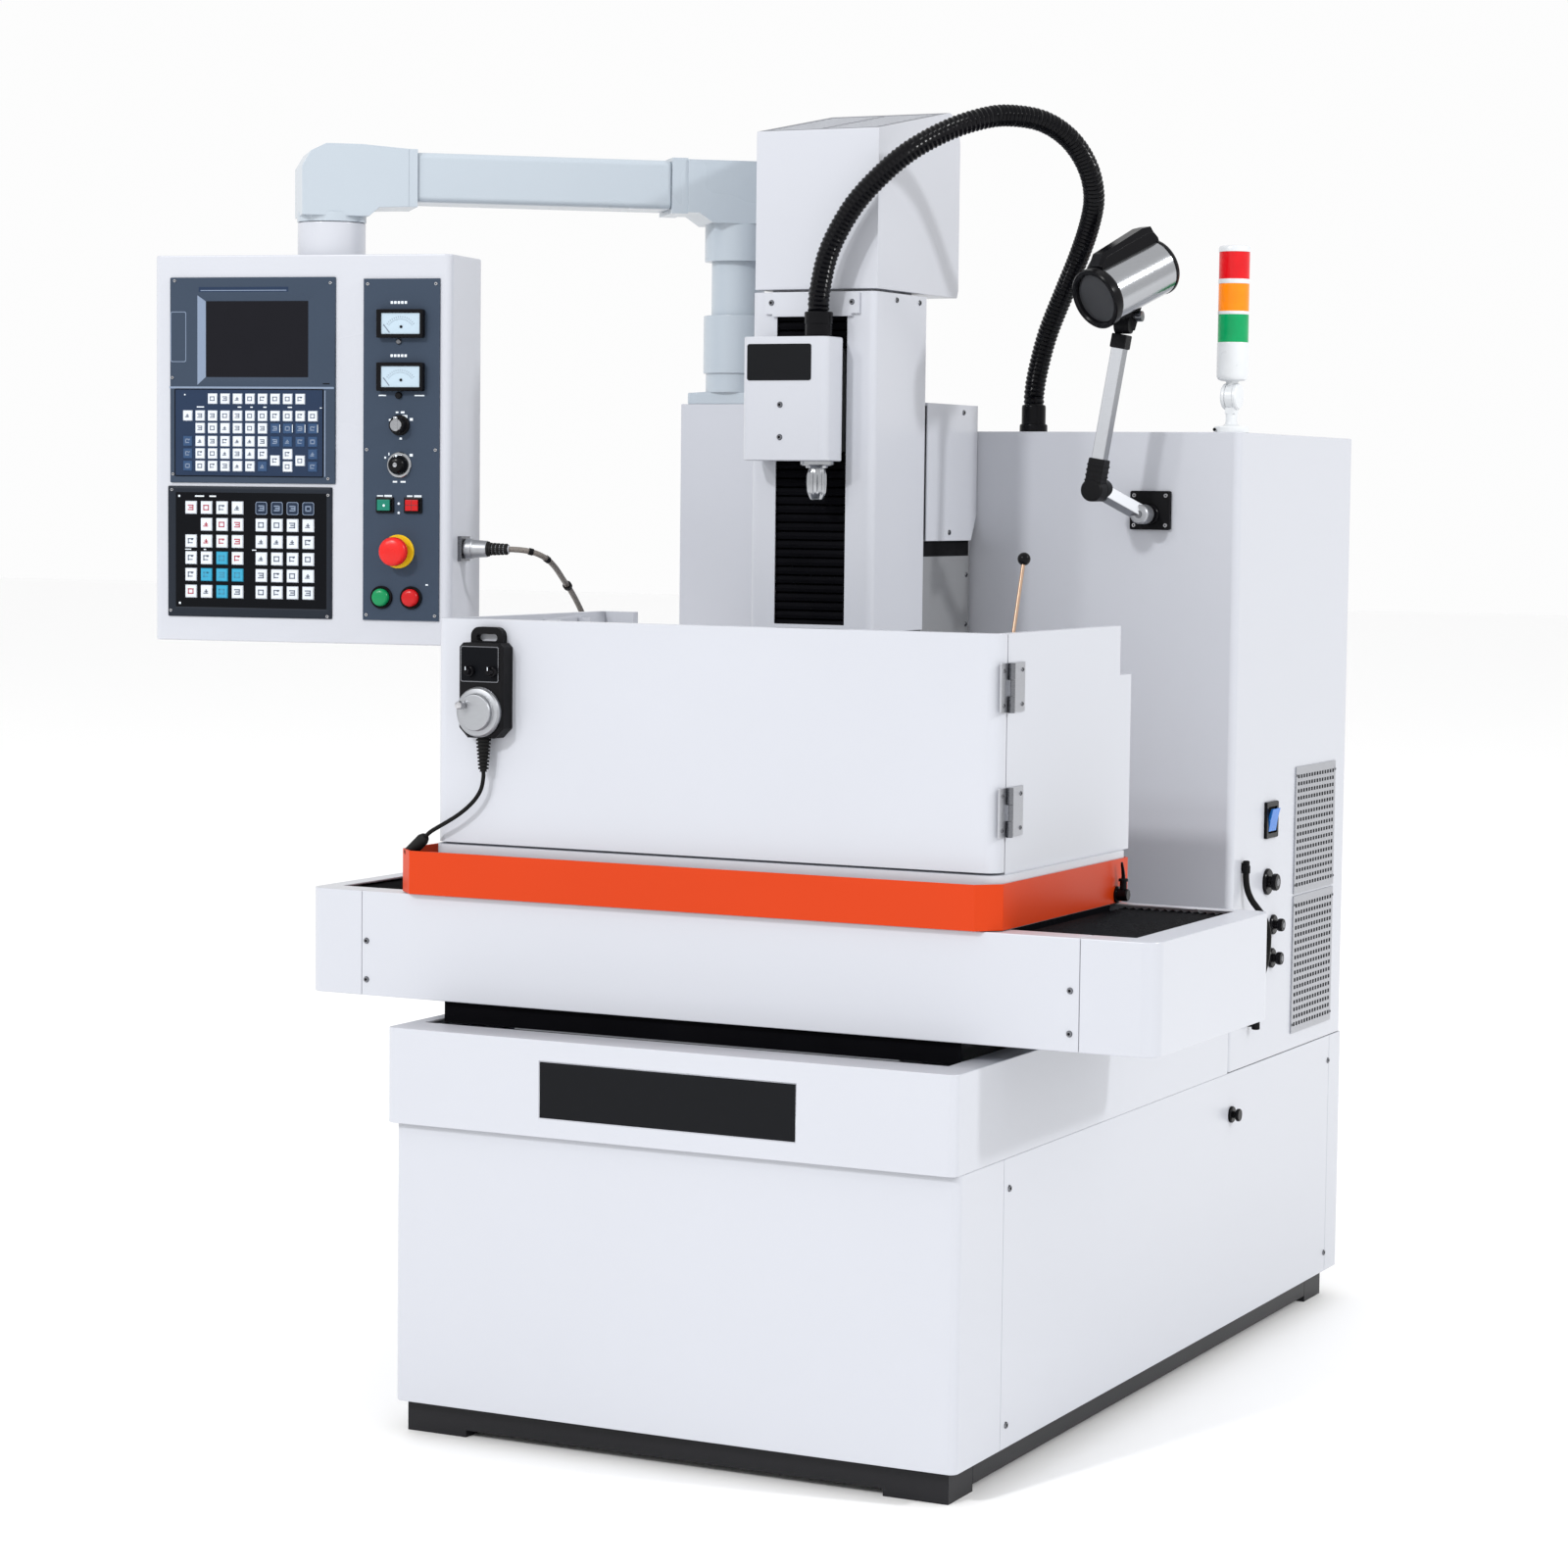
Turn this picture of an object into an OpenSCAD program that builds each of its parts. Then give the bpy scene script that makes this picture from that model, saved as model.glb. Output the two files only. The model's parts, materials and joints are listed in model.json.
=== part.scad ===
// Electrical discharge drilling machine: cast base with a cross-sliding work tank, a column
// with a vertical spindle head, an electrical cabinet, a swinging operator panel, a work
// lamp and a tower light. Millimetres, +Z up, +Y towards the cabinet, origin on the floor
// at the middle of the four levelling bolts.

/* [Base] */
// Width of the base and the cabinet
base_w = 876; // [860:4:900]
// Length of the base from front to back
base_l = 1600; // [1590:2:1620]
// Height of the seam between the skirt panels and the rim
seam_z = 444; // [440:1:448]
// Height of the top of the rim
rim_z = 579; // [578:1:580]
// Thickness of the sheet metal covers
sheet = 3; // [2:0.5:3]
// Radius of the upright corners of the covers
corner_r = 12; // [6:1:20]

/* [Saddle and table] */
// Left and right ends of the saddle
saddle_x = [-638, 672];
// Front and back of the saddle
saddle_y = [-694, -247];
// Underside and top of the saddle covers
saddle_z = [605, 756];
// Length of the left end cap
cap_left = 91; // [85:1:95]
// Length of the right end cap
cap_right = 108; // [100:1:112]
// Left and right sides of the spill tray
tray_x = [-489, 447];
// Front and back of the spill tray
tray_y = [-706, -197];
// Height of the spill tray's wall
tray_h = 62; // [50:1:70]
// Left and right sides of the work tank
tank_x = [-433, 437];
// Height of the top of the work tank
tank_top = 1150; // [1140:1:1160]
// Thickness of the tank door
door_t = 26; // [20:1:28]

/* [Column and head] */
// Left and right sides of the ram housing
ram_x = [-205, 1];
// Front and back of the ram housing
ram_y = [-150, 43];
// Underside and top of the ram housing
ram_z = [1126, 1634];
// Distance of the spindle axis right of the head's middle
spindle_off = 43; // [30:1:48]
// Height of the underside of the head
head_z = 1381; // [1376:1:1386]
// Height of the top cover at its front edge
cover_front_z = 1875; // [1860:5:1890]
// Slope of the top cover
cover_slope = 10; // [6:1:12]

/* [Cabinet] */
// Front face of the cabinet
cabinet_front = 238; // [238:1:242]
// Height of the top of the cabinet
cabinet_top = 1434; // [1430:1:1440]

/* [Operator arm] */
// Turn of the arm from straight left, towards the front
arm_turn = 40; // [35:1:45]
// Distance from the pole to the operator panel's swivel
arm_len = 642; // [620:2:660]
// Turn of the operator panel to the right
panel_turn = 11; // [5:1:15]
// Width of the operator panel box
panel_w = 487; // [480:1:500]
// Depth of the operator panel box
panel_d = 140; // [130:1:150]
// Underside and top of the operator panel box
panel_z = [1096, 1687];

/* [Hidden] */
$fn = 48;

paint = "#e4e7ee";
arm_paint = "#d3dce1";
tray_paint = "#e94b23";
black = "#1b1c1f";
slate = "#5a5f6a";
steel = "#b9bcc0";
lamp_paint = "#c9cdd2";

x0 = -base_w / 2;
x1 = base_w / 2;
y0 = -base_l / 2;
y1 = base_l / 2;
skirt_z = 46;
gap = 0.5;

// Ways, screws and slides
way_w = 60;
bed_top = 430;
y_way_x = 210;
y_way_z = 560;
y_screw = [60, 500];
x_way_y = [-590, -350];
x_bed_z = 640;
x_way_z = 700;
x_screw = [-470, 670];
screw_r = 12.5;
fold_pitch = 12;
lip_front = 45;
lip_back = 15;
lip_left = 29;
lip_right = 47;
under_y = [-640, -300];
plate_x = [-190, 205];
plate_z = [470, 550];
y_open = [-730, 30];
x_open = [-418, 394];

// Work tank
tray_z = saddle_z[1] + 1;
tank_floor = 829;
tank_wall = 15;
tank_front = -650;
tank_back = -200;
side_back = -244;
low_wall_z = 1080;
drain = [tray_x[1] + 10, -268];
hinge_pin = [tank_x[1] + 6.5, tank_front - 1];
hinge_z = [912, 1078];

// Column and head
column_left = -424;
column_face = 36;
column_back = 236;
column_top = 1472;
cap_under = 1262;
slot_x = [-162, -45];
slot_z = [1136, 1600];
head_x = [-188, -46];
head_y = [-216, -153];
head_h = 184;
neck_z = [head_z + 15, head_z + 168];
z_way_x = [ram_x[0] + 38, ram_x[1] - 68];
z_way_w = 30;
z_way_y = [-84, -60];
z_screw = [(ram_x[0] + ram_x[1]) / 2, -102];
spindle = [(head_x[0] + head_x[1]) / 2 + spindle_off, -188];
cover_y = [-144, 153];

// Operator arm
pendant_face = tank_front - 32 - door_t;
pendant_mid = -343;
pole = [-347, 80];
pole_z = 1611;
swivel = [pole[0] - arm_len * cos(arm_turn), pole[1] - arm_len * sin(arm_turn)];
beam_z = [1772, 1848];
beam_w = 92;
elbow_r = 53;
panel_x = [-265, panel_w - 265];
panel_face = -panel_d / 2;
plate_face = panel_face - 3;
key_t = 2;
key_x = [-207, -202, -85];
square_x = [117.5, 161];
square_z = 1308;
round_x = [113, 161];
round_z = 1168;
stop_at = [140, 1238];

// Lamp and tower light
lamp_pivot = [295, 211.5, 1307];
lamp_elbow = [250, 125, 1343];
lamp_yoke = [290, 125, 1592];
lamp_front = [274, 40, 1627];
lamp_back = [332, 160, 1685];
lamp_r = 46;
lamp_w = 20;
lamp_low_w = 14;
tower = [412, 268];
tower_fold_z = 1489;
tower_hinge_w = 12;

// Routes of the hose and the cables
hose_route = [
  [-74, -188, 1602], [-74, -188, 1625], [-60, -190, 1684], [-34, -188, 1736], [0, -184, 1780],
  [53, -165, 1832], [104, -130, 1868], [144, -90, 1888], [171, -50, 1895], [203, 0, 1890],
  [226, 50, 1867], [237, 95, 1830], [234, 130, 1789], [216, 160, 1750], [187, 190, 1703],
  [153, 215, 1649], [116, 240, 1586], [92, 258, 1525], [84, 265, 1490], [84, 265, 1476]
];
side_route = [
  [444.5, 286, 752], [444.5, 286, 747], [445.5, 286.9, 733.7], [448.3, 289.4, 720.8],
  [453, 293.5, 709], [459.2, 299, 698.5], [465.5, 304.5, 688], [470.2, 308.6, 676.2],
  [473, 311.1, 663.3], [474, 312, 650], [472.6, 313, 629.3], [468.6, 316, 609.1],
  [462, 321, 590], [455.4, 326, 570.9], [451.4, 329, 550.7], [450, 330, 530], [450, 330, 523]
];
pendant_route = [
  [-345, -694, 936], [-345, -694, 928], [-348.2, -694.3, 912], [-356.7, -695, 897.6],
  [-369.1, -695.9, 884.9], [-383.7, -696.8, 873.7], [-399, -697.4, 864.2],
  [-413.5, -697.5, 856.2], [-425.7, -696.9, 849.6], [-433.9, -695.3, 844.6], [-440, -693, 840]
];
control_route_front = [
  [-542.2, -293.38, 1243], [-538.3, -292.62, 1243], [-519.6, -286.7, 1241.7], [-507, -276.7, 1238],
  [-500.1, -263.6, 1232.4], [-497.8, -248, 1225.3], [-499.1, -230.5, 1217], [-502.6, -211.6, 1208],
  [-507.4, -191.7, 1198.7], [-512.2, -171.6, 1189.6], [-513, -168, 1188]
];
control_route_rear = [
  [-514.8, -159.9, 1184.4], [-515.8, -155.4, 1182.4], [-522.8, -121.4, 1162.9],
  [-529.4, -82.8, 1134.4], [-534.6, -43.8, 1101.5], [-537.2, -8.1, 1068.5], [-536, 20, 1040],
  [-531.7, 46.2, 1012.8], [-525.7, 71.6, 988], [-516.4, 94.5, 966.6], [-502.4, 113, 949.8],
  [-482.5, 125.5, 938.9], [-455, 130, 935], [-450, 130, 935]
];
hose_d = 33;
side_d = 10;
pendant_d = 6;
control_d = 9;

// ---- shared shapes ----

// A block between pairs of coordinates
module block(x, y, z) {
  translate([x[0], y[0], z[0]]) cube([x[1] - x[0], y[1] - y[0], z[1] - z[0]]);
}

// A rectangle with rounded corners
module round_rect(x, y, r) {
  translate([x[0] + r, y[0]]) square([x[1] - x[0] - 2 * r, y[1] - y[0]]);
  translate([x[0], y[0] + r]) square([x[1] - x[0], y[1] - y[0] - 2 * r]);
  for (cx = [x[0] + r, x[1] - r], cy = [y[0] + r, y[1] - r]) translate([cx, cy]) circle(r);
}

// A block with rounded upright edges
module round_block(x, y, z, r) {
  translate([0, 0, z[0]]) linear_extrude(z[1] - z[0]) round_rect(x, y, r);
}

// A round bar lying along an axis, given by its start and its length
module bar_x(p, len, r) {
  translate(p) rotate([0, 90, 0]) cylinder(h = len, r = r);
}

module bar_y(p, len, r) {
  translate(p) rotate([-90, 0, 0]) cylinder(h = len, r = r);
}

module bar_z(p, len, r) {
  translate(p) cylinder(h = len, r = r);
}

// Things that point along the line from p to q
module along(p, q) {
  d = q - p;
  translate(p) rotate([0, acos(d[2] / norm(d)), atan2(d[1], d[0])]) children();
}

// A pan-head screw that stands on a face and points along the z axis of its children's frame
module screw_head(r) {
  cylinder(h = 1.5, r1 = r, r2 = r * 0.8);
}

// The outline of a pleated sheet: ridges every pitch along x, between 0 and depth in y
function pleat_points(len, pitch, depth, thick) = let (n = round(len / pitch), step = len / n)
  concat(
    [for (i = [0:2 * n]) [i * step / 2, (i % 2) * (depth - thick) + thick]],
    [for (i = [2 * n:-1:0]) [i * step / 2, (i % 2) * (depth - thick)]]
  );

// A bellows whose pleats follow each other along x, with the ridges running along y
module bellows_x(x, y, z, pitch) {
  translate([x[0], y[1], z[0]]) rotate([90, 0, 0]) linear_extrude(y[1] - y[0])
    polygon(pleat_points(x[1] - x[0], pitch, z[1] - z[0], sheet));
}

// A tube swept along a route: every ring is square to the route at its point, and starts
// from a direction that the route never follows
function route_dir(p, i) =
  let (a = p[max(i - 1, 0)], b = p[min(i + 1, len(p) - 1)]) (b - a) / norm(b - a);
function ring(p, i, r, n, across) =
  let (d = route_dir(p, i), c = cross(d, across), s = c / norm(c), t = cross(d, s))
  [for (k = [0:n - 1]) p[i] + r * (cos(360 * k / n) * s + sin(360 * k / n) * t)];
module tube(route, d, sides, across) {
  rings = len(route);
  polyhedron(
    points = [for (i = [0:rings - 1]) each ring(route, i, d / 2, sides, across)],
    faces = concat(
      [[for (k = [0:sides - 1]) k]],
      [for (i = [0:rings - 2], k = [0:sides - 1]) let (a = i * sides, n = (k + 1) % sides)
        [a + k, a + sides + k, a + sides + n, a + n]],
      [[for (k = [sides - 1:-1:0]) (rings - 1) * sides + k]]
    )
  );
}

// ---- base ----

// Two end beams on corner pads with a bolt hole in each pad, and two side beams between them
module plinth() {
  half_x = 420;
  half_y = 767;
  beam = 80;
  pad = 96;
  color("#26282b") for (s = [-1, 1]) {
    end_y = s * (half_y - beam / 2);
    difference() {
      union() {
        translate([0, end_y, 30]) cube([2 * half_x, beam, 40], center = true);
        for (k = [-1, 1]) translate([k * (half_x - pad / 2), end_y, 5]) cube([pad, beam, 10], center = true);
      }
      for (k = [-1, 1]) bar_z([k * (half_x - pad / 2), end_y, -1], 52, 9);
    }
    translate([s * (half_x - beam / 2), 0, 30]) cube([beam, 2 * (half_y - beam - gap), 40], center = true);
  }
}

module bed_casting() {
  wall = 20;
  bx = [-400, 400];
  by = [-745, 752];
  rib = wall / 2;
  bays = [[by[0] + wall, -240 - rib], [rib - 240, 240 - rib], [240 + rib, by[1] - wall]];
  color("#7d8288") {
    difference() {
      block(bx, by, [50, bed_top]);
      for (bay = bays) block([bx[0] + wall, bx[1] - wall], bay, [49, bed_top - wall]);
    }
    for (sx = [-1, 1])
      block([sx * y_way_x - way_w / 2, sx * y_way_x + way_w / 2], [y0 + 80, 14], [bed_top, y_way_z]);
    column_seat();
    y_screw_drive();
  }
}

module column_seat() {
  difference() {
    block([column_left + 4, ram_x[1] - 6], [40, 232], [bed_top, rim_z - sheet]);
    block([column_left + 32, ram_x[1] - 34], [39, 204], [bed_top + 20, rim_z - 31]);
  }
}

module y_screw_drive() {
  bearing_x = [y_screw[0] - 35, y_screw[0] + 35];
  block(bearing_x, [-735, -705], [bed_top, y_screw[1] + 35]);
  block(bearing_x, [-20, 10], [bed_top, y_screw[1] + 35]);
  bar_y([y_screw[0], -705, y_screw[1]], 685, screw_r);
  block(bearing_x, [10, 150], [y_screw[1] - 45, y_screw[1] + 45]);
}

// The front skirt wraps round both front corners, as far as a seam on each side
module front_skirt() {
  front = y0 + 12;
  seam = -638;
  color(paint) difference() {
    round_block([x0 + 8, x1], [front, seam + corner_r], [skirt_z, seam_z], corner_r);
    round_block([x0 + 8 + sheet, x1 - sheet], [front + sheet, seam + 2 * corner_r],
      [skirt_z - 1, seam_z + 1], corner_r - sheet);
    block([x0, x1 + 1], [seam, seam + corner_r + 1], [skirt_z - 1, seam_z + 1]);
  }
}

module skirt_panels() {
  seams = [-638 + gap, 734];
  color(paint) {
    block([x0 + 8, x0 + 8 + sheet], seams, [skirt_z, seam_z]);
    block([x1 - sheet, x1], seams, [skirt_z, seam_z]);
    difference() {
      block([x0 + 8, x1], [seams[1] + gap, y1 - 8], [skirt_z, seam_z]);
      block([x0 + 8 + sheet, x1 - sheet], [seams[1], y1 - 8 - sheet], [skirt_z - 1, seam_z + 1]);
    }
  }
}

// The rim frames the front bellows and carries the column; the cabinet closes it behind, and
// a shallow recess in its front takes a bare plate
module upper_rim() {
  color(paint) difference() {
    round_block([x0, x1], [y0, cabinet_front - 0.2 + corner_r], [seam_z, rim_z], corner_r);
    round_block([x0 + sheet, x1 - sheet], [y0 + sheet, cabinet_front + 2 * corner_r],
      [seam_z - 1, rim_z - sheet], corner_r - sheet);
    block([x0 - 1, x1 + 1], [cabinet_front - 0.2, cabinet_front + corner_r + 1], [seam_z - 1, rim_z + 1]);
    block(x_open, y_open, [rim_z - sheet - 1, rim_z + 1]);
    block(plate_x, [y0 - 1, y0 + 1], plate_z);
  }
}

module panel_latch() {
  color(black) {
    bar_x([x1 + 0.5, 257, 378], 4, 13);
    bar_x([x1 + 4.5, 257, 378], 5, 5);
    bar_x([x1 + 9.5, 257, 378], 6, 10);
  }
}

// ---- column and head ----

module column() {
  cx = [ram_x[0] + 9, ram_x[1] - 7];
  cy = [ram_y[1], column_back - 10];
  color("#9da1a8") difference() {
    block(cx, cy, [rim_z, 1440]);
    block([cx[0] + 25, cx[1] - 25], [cy[0] + 30, cy[1] - 25], [rim_z - 1, 1400]);
  }
}

// Cover: full height on the left, and a cap with a chamfered lower edge on the right
module column_cover() {
  left = [column_left, ram_x[0]];
  cap_y = [ram_y[1] + 2, column_back];
  chamfer = 20;
  inner_z = column_top - sheet;
  color(paint) difference() {
    union() {
      block(left, [column_face, column_back], [rim_z, column_top]);
      translate([left[1], 0, 0]) rotate([90, 0, 90]) linear_extrude(ram_x[1] - left[1]) polygon([
        [cap_y[0], cap_under], [cap_y[1] - chamfer, cap_under], [cap_y[1], cap_under + 2 * chamfer],
        [cap_y[1], column_top + 2], [cap_y[0], column_top + 2]
      ]);
    }
    block([left[0] + sheet, left[1] - sheet], [column_face + sheet, column_back - sheet], [rim_z - 1, inner_z]);
    block([left[1] - sheet - 1, ram_x[1] - sheet], [cap_y[0] - 1, column_back - 10], [cap_under - 1, inner_z]);
  }
}

module ram_housing() {
  inner_x = [ram_x[0] + sheet, ram_x[1] - sheet];
  inner_y = [ram_y[0] + sheet, ram_y[1] - sheet];
  color(paint) {
    difference() {
      round_block(ram_x, ram_y, ram_z, corner_r);
      round_block(inner_x, inner_y, [ram_z[0] + sheet, ram_z[1] - sheet], corner_r - sheet);
      block(slot_x, [ram_y[0] - 1, inner_y[0] + 1], slot_z);
    }
    z_ways();
    bar_z([z_screw[0], z_screw[1], ram_z[0] + sheet], ram_z[1] - ram_z[0] - 2 * sheet, screw_r);
    clamp_plate();
  }
}

module z_ways() {
  back = ram_y[1] - sheet;
  block([ram_x[0] + 30, ram_x[1] - 30], [z_way_y[1], back], [ram_z[0] + sheet, ram_z[1] - sheet]);
  for (x = z_way_x) block([x, x + z_way_w], z_way_y, [ram_z[0] + 20, ram_z[1] - 30]);
}

// A plate with two ears across the top of the slot
module clamp_plate() {
  mid = (ram_x[0] + ram_x[1]) / 2;
  top = ram_z[1] - 0.5;
  block([mid - 66, mid + 66], [ram_y[0] - 6, ram_y[0]], [slot_z[1] - 3, top]);
  block([mid - 78, mid + 78], [ram_y[0] - 6, ram_y[0]], [slot_z[1] + 1, top - 1]);
}

// The top cover: its roof rises towards the back and has a rounded rear edge
module top_cover() {
  cx = [ram_x[0] + 2, ram_x[1]];
  under = ram_z[1] + 4;
  roof = (cover_y[1] - 40 - cover_y[0]) * tan(cover_slope);
  back_z = cover_front_z + roof;
  profile = [
    [cover_y[0], under], [cover_y[1] - 5, under], [cover_y[1], under + 12], [cover_y[1], back_z - 44],
    [cover_y[1] - 8, back_z - 18], [cover_y[1] - 22, back_z - 5], [cover_y[1] - 40, back_z],
    [cover_y[0], cover_front_z]
  ];
  inner = [
    [cover_y[0] + sheet, under + sheet], [cover_y[1] - sheet, under + sheet],
    [cover_y[1] - sheet, back_z - 46], [cover_y[1] - 24, back_z - 10], [cover_y[1] - 42, back_z - sheet - 1],
    [cover_y[0] + sheet, cover_front_z - sheet - 1]
  ];
  color(paint) difference() {
    translate([cx[0], 0, 0]) rotate([90, 0, 90]) linear_extrude(cx[1] - cx[0]) polygon(profile);
    translate([cx[0] + sheet, 0, 0]) rotate([90, 0, 90])
      linear_extrude(cx[1] - cx[0] - 2 * sheet) polygon(inner);
    roof_slots(cx);
  }
  color(paint) block([cx[0] + 20, cx[1] - 20], [cover_y[0] + 20, ram_y[1] - 20], [ram_z[1], under]);
}

module roof_slots(cx) {
  pitch = 22;
  translate([cx[0], cover_y[0], cover_front_z]) rotate([cover_slope, 0, 0])
    for (row = [0:9], side = [0, 1])
      translate([18 + side * 92, 22 + row * pitch, -6]) cube([78, 9, 12]);
}

module head_housing() {
  top = head_z + head_h;
  color(paint) difference() {
    round_block(head_x, head_y, [head_z, top], 8);
    bar_z([spindle[0], spindle[1], head_z + 2], head_h - 2 - sheet, 16);
    bar_z([spindle[0], spindle[1], head_z - 1], 4, 13);
  }
  color(black) {
    bar_z([spindle[0], spindle[1], top], 22, 19);
    bar_z([spindle[0], spindle[1], top + 22], 15, 21);
    block([head_x[0] + 10, head_x[1] - 26], [head_y[0] - 1, head_y[0]], [1500, 1554]);
  }
  color(steel) for (z = [1416, 1464])
    translate([(head_x[0] + head_x[1]) / 2 - 6, head_y[0], z]) rotate([90, 0, 0]) screw_head(4);
}

// The head hangs from a plate that rides on the ways inside the ram housing
module z_carriage() {
  color("#9da1a8") {
    block([slot_x[0] + 12, slot_x[1] - 13], [head_y[1], -120], neck_z);
    difference() {
      block([ram_x[0] + 32, ram_x[1] - 32], [-120, z_way_y[0] - gap], neck_z);
      bar_z([z_screw[0], z_screw[1], neck_z[0] - 1], neck_z[1] - neck_z[0] + 2, screw_r + gap);
    }
    for (x = [z_way_x[0] + z_way_w + gap, z_way_x[1] - gap - 8])
      block([x, x + 8], [z_way_y[0] - gap, z_way_y[1] - 1], neck_z);
  }
}

module spindle_chuck() {
  tip = 1324;
  color(steel) difference() {
    translate([spindle[0], spindle[1], 0]) rotate_extrude() polygon([
      [0, tip], [9, tip], [13, tip + 6], [15.5, tip + 16], [15.5, tip + 34], [12, tip + 36], [12, tip + 46],
      [24, tip + 46], [24, head_z - 0.5], [12.5, head_z - 0.5], [12.5, head_z + 60], [0, head_z + 60]
    ]);
    bar_z([spindle[0], spindle[1], tip - 1], 40, 3);
  }
}

module z_bellows() {
  fold_x = [slot_x[0] - 8, slot_x[1] + 8];
  fold_y = [ram_y[0] + sheet + 1, ram_y[0] + 14];
  color(black) {
    bellows_z(fold_x, fold_y, [ram_z[0] + sheet + 1, neck_z[0] - 1], fold_pitch);
    bellows_z(fold_x, fold_y, [neck_z[1] + 1, ram_z[1] - sheet - 1], fold_pitch);
  }
}

// A bellows whose pleats follow each other upwards, with the ridges running along x
module bellows_z(x, y, z, pitch) {
  translate([x[0], y[1], z[0]]) rotate([90, 0, 90]) rotate([0, 0, 90])
    linear_extrude(x[1] - x[0]) polygon(pleat_points(z[1] - z[0], pitch, y[1] - y[0], 2));
}

module conduit_hose() {
  color(black) tube(hose_route, hose_d, 12, [1, 0, 0]);
}

// ---- saddle and table ----

module y_bellows() {
  fold_x = [x_open[0] + 3, x_open[1] - 3];
  fold_z = [562, 574];
  color(black) {
    bellows_y(fold_x, [y_open[0] + 1, -681], fold_z, fold_pitch);
    bellows_y(fold_x, [-261, y_open[1] - 1], fold_z, fold_pitch);
  }
}

// A bellows whose pleats follow each other along y, with the ridges running along x
module bellows_y(x, y, z, pitch) {
  translate([x[0], y[0], z[0]]) rotate([90, 0, 90]) linear_extrude(x[1] - x[0])
    polygon(pleat_points(y[1] - y[0], pitch, z[1] - z[0], sheet));
}

module saddle_casting() {
  plate_y = [-680, -262];
  outer = y_way_x + way_w / 2 + gap;
  color("#7d8288") {
    block([-300, 300], plate_y, [y_way_z + gap, 600]);
    for (x = [[-outer - 28, -outer], [outer, outer + 28]]) block(x, plate_y, [500, y_way_z + gap]);
    difference() {
      block([y_screw[0] - 34, y_screw[0] + 34], [-520, -420], [470, y_way_z + gap]);
      bar_y([y_screw[0], -521, y_screw[1]], 102, screw_r + gap);
    }
    block([-560, 590], [-640, -300], [600, x_bed_z]);
    for (y = x_way_y) block([-545, 575], [y - way_w / 2, y + way_w / 2], [x_bed_z, x_way_z]);
    x_screw_drive();
  }
}

module x_screw_drive() {
  bearing_y = [x_screw[0] - 32, x_screw[0] + 32];
  for (x = [[-556, -536], [560, 580]]) block(x, bearing_y, [x_bed_z, x_screw[1] + 28]);
  bar_x([-536, x_screw[0], x_screw[1]], 1096, screw_r);
  block([580, 650], bearing_y, [x_bed_z - 2, x_screw[1] + 28]);
}

module saddle_cover() {
  cx = [saddle_x[0] + cap_left, saddle_x[1] - cap_right];
  front = saddle_y[0];
  back = saddle_y[1];
  color(paint) {
    block(cx, [front, front + sheet], saddle_z);
    block(cx, [front + sheet, front + lip_front], [saddle_z[1] - sheet, saddle_z[1]]);
    block(cx, [front + sheet, under_y[0]], [saddle_z[0], saddle_z[0] + sheet]);
    block(cx, [back - sheet, back], saddle_z);
    block(cx, [back - lip_back, back - sheet], [saddle_z[1] - sheet, saddle_z[1]]);
    block(cx, [under_y[1], back - sheet], [saddle_z[0], saddle_z[0] + sheet]);
  }
}

// One end cap, drawn towards +x; its outer corners are round and its inner side is open
module end_cap(span, lip) {
  r = 24;
  inside_z = [saddle_z[0] + sheet, saddle_z[1] - sheet];
  difference() {
    round_block([-r, span], saddle_y, saddle_z, r);
    block([-r - 1, 0], [saddle_y[0] - 1, saddle_y[1] + 1], [saddle_z[0] - 1, saddle_z[1] + 1]);
    round_block([-r - 1, span - sheet], [saddle_y[0] + sheet, saddle_y[1] - sheet], inside_z, r - sheet);
    block([-1, span - lip], [saddle_y[0] + lip_front, saddle_y[1] - lip_back],
      [inside_z[1] - 1, saddle_z[1] + 1]);
    block([-1, span - lip], under_y, [saddle_z[0] - 1, inside_z[0] + 1]);
  }
}

module saddle_end_caps() {
  right = saddle_x[1] - cap_right + gap;
  left = saddle_x[0] + cap_left - gap;
  color(paint) {
    translate([right, 0, 0]) end_cap(cap_right - gap, lip_right);
    translate([left, 0, 0]) mirror([1, 0, 0]) end_cap(cap_left - gap, lip_left);
  }
}

module x_bellows() {
  fold_y = [saddle_y[0] + 28, saddle_y[1] - 8];
  fold_z = [738, 751];
  color(black) {
    bellows_x([saddle_x[0] + 12, tray_x[0] - 3], fold_y, fold_z, fold_pitch);
    bellows_x([tray_x[1] + 3, saddle_x[1] - 30], fold_y, fold_z, fold_pitch);
  }
}

module table_carriage() {
  plate_x = [tray_x[0] + 1, tray_x[1] - 1];
  plate_y = [-648, -290];
  edges = [x_way_y[0] - way_w / 2 - gap, x_way_y[1] + way_w / 2 + gap];
  color("#7d8288") {
    block(plate_x, plate_y, [x_way_z + gap, tray_z]);
    block(plate_x, [plate_y[0], edges[0]], [655, x_way_z + gap]);
    block(plate_x, [edges[1], plate_y[1]], [655, x_way_z + gap]);
    difference() {
      block([-30, 50], [x_screw[0] - 30, x_screw[0] + 30], [645, x_way_z + gap]);
      bar_x([-31, x_screw[0], x_screw[1]], 82, screw_r + gap);
    }
  }
}

// Slotted table that the work is clamped on
module work_table() {
  top = tank_floor + 51;
  tx = [-330, 330];
  color("#8d9196") difference() {
    block(tx, [-612, -288], [tank_floor, top]);
    for (y = [-550, -450, -350]) {
      block([tx[0] - 1, tx[1] + 1], [y - 7, y + 7], [top - 24, top + 1]);
      block([tx[0] - 1, tx[1] + 1], [y - 12, y + 12], [top - 24, top - 13]);
    }
  }
}

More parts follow.
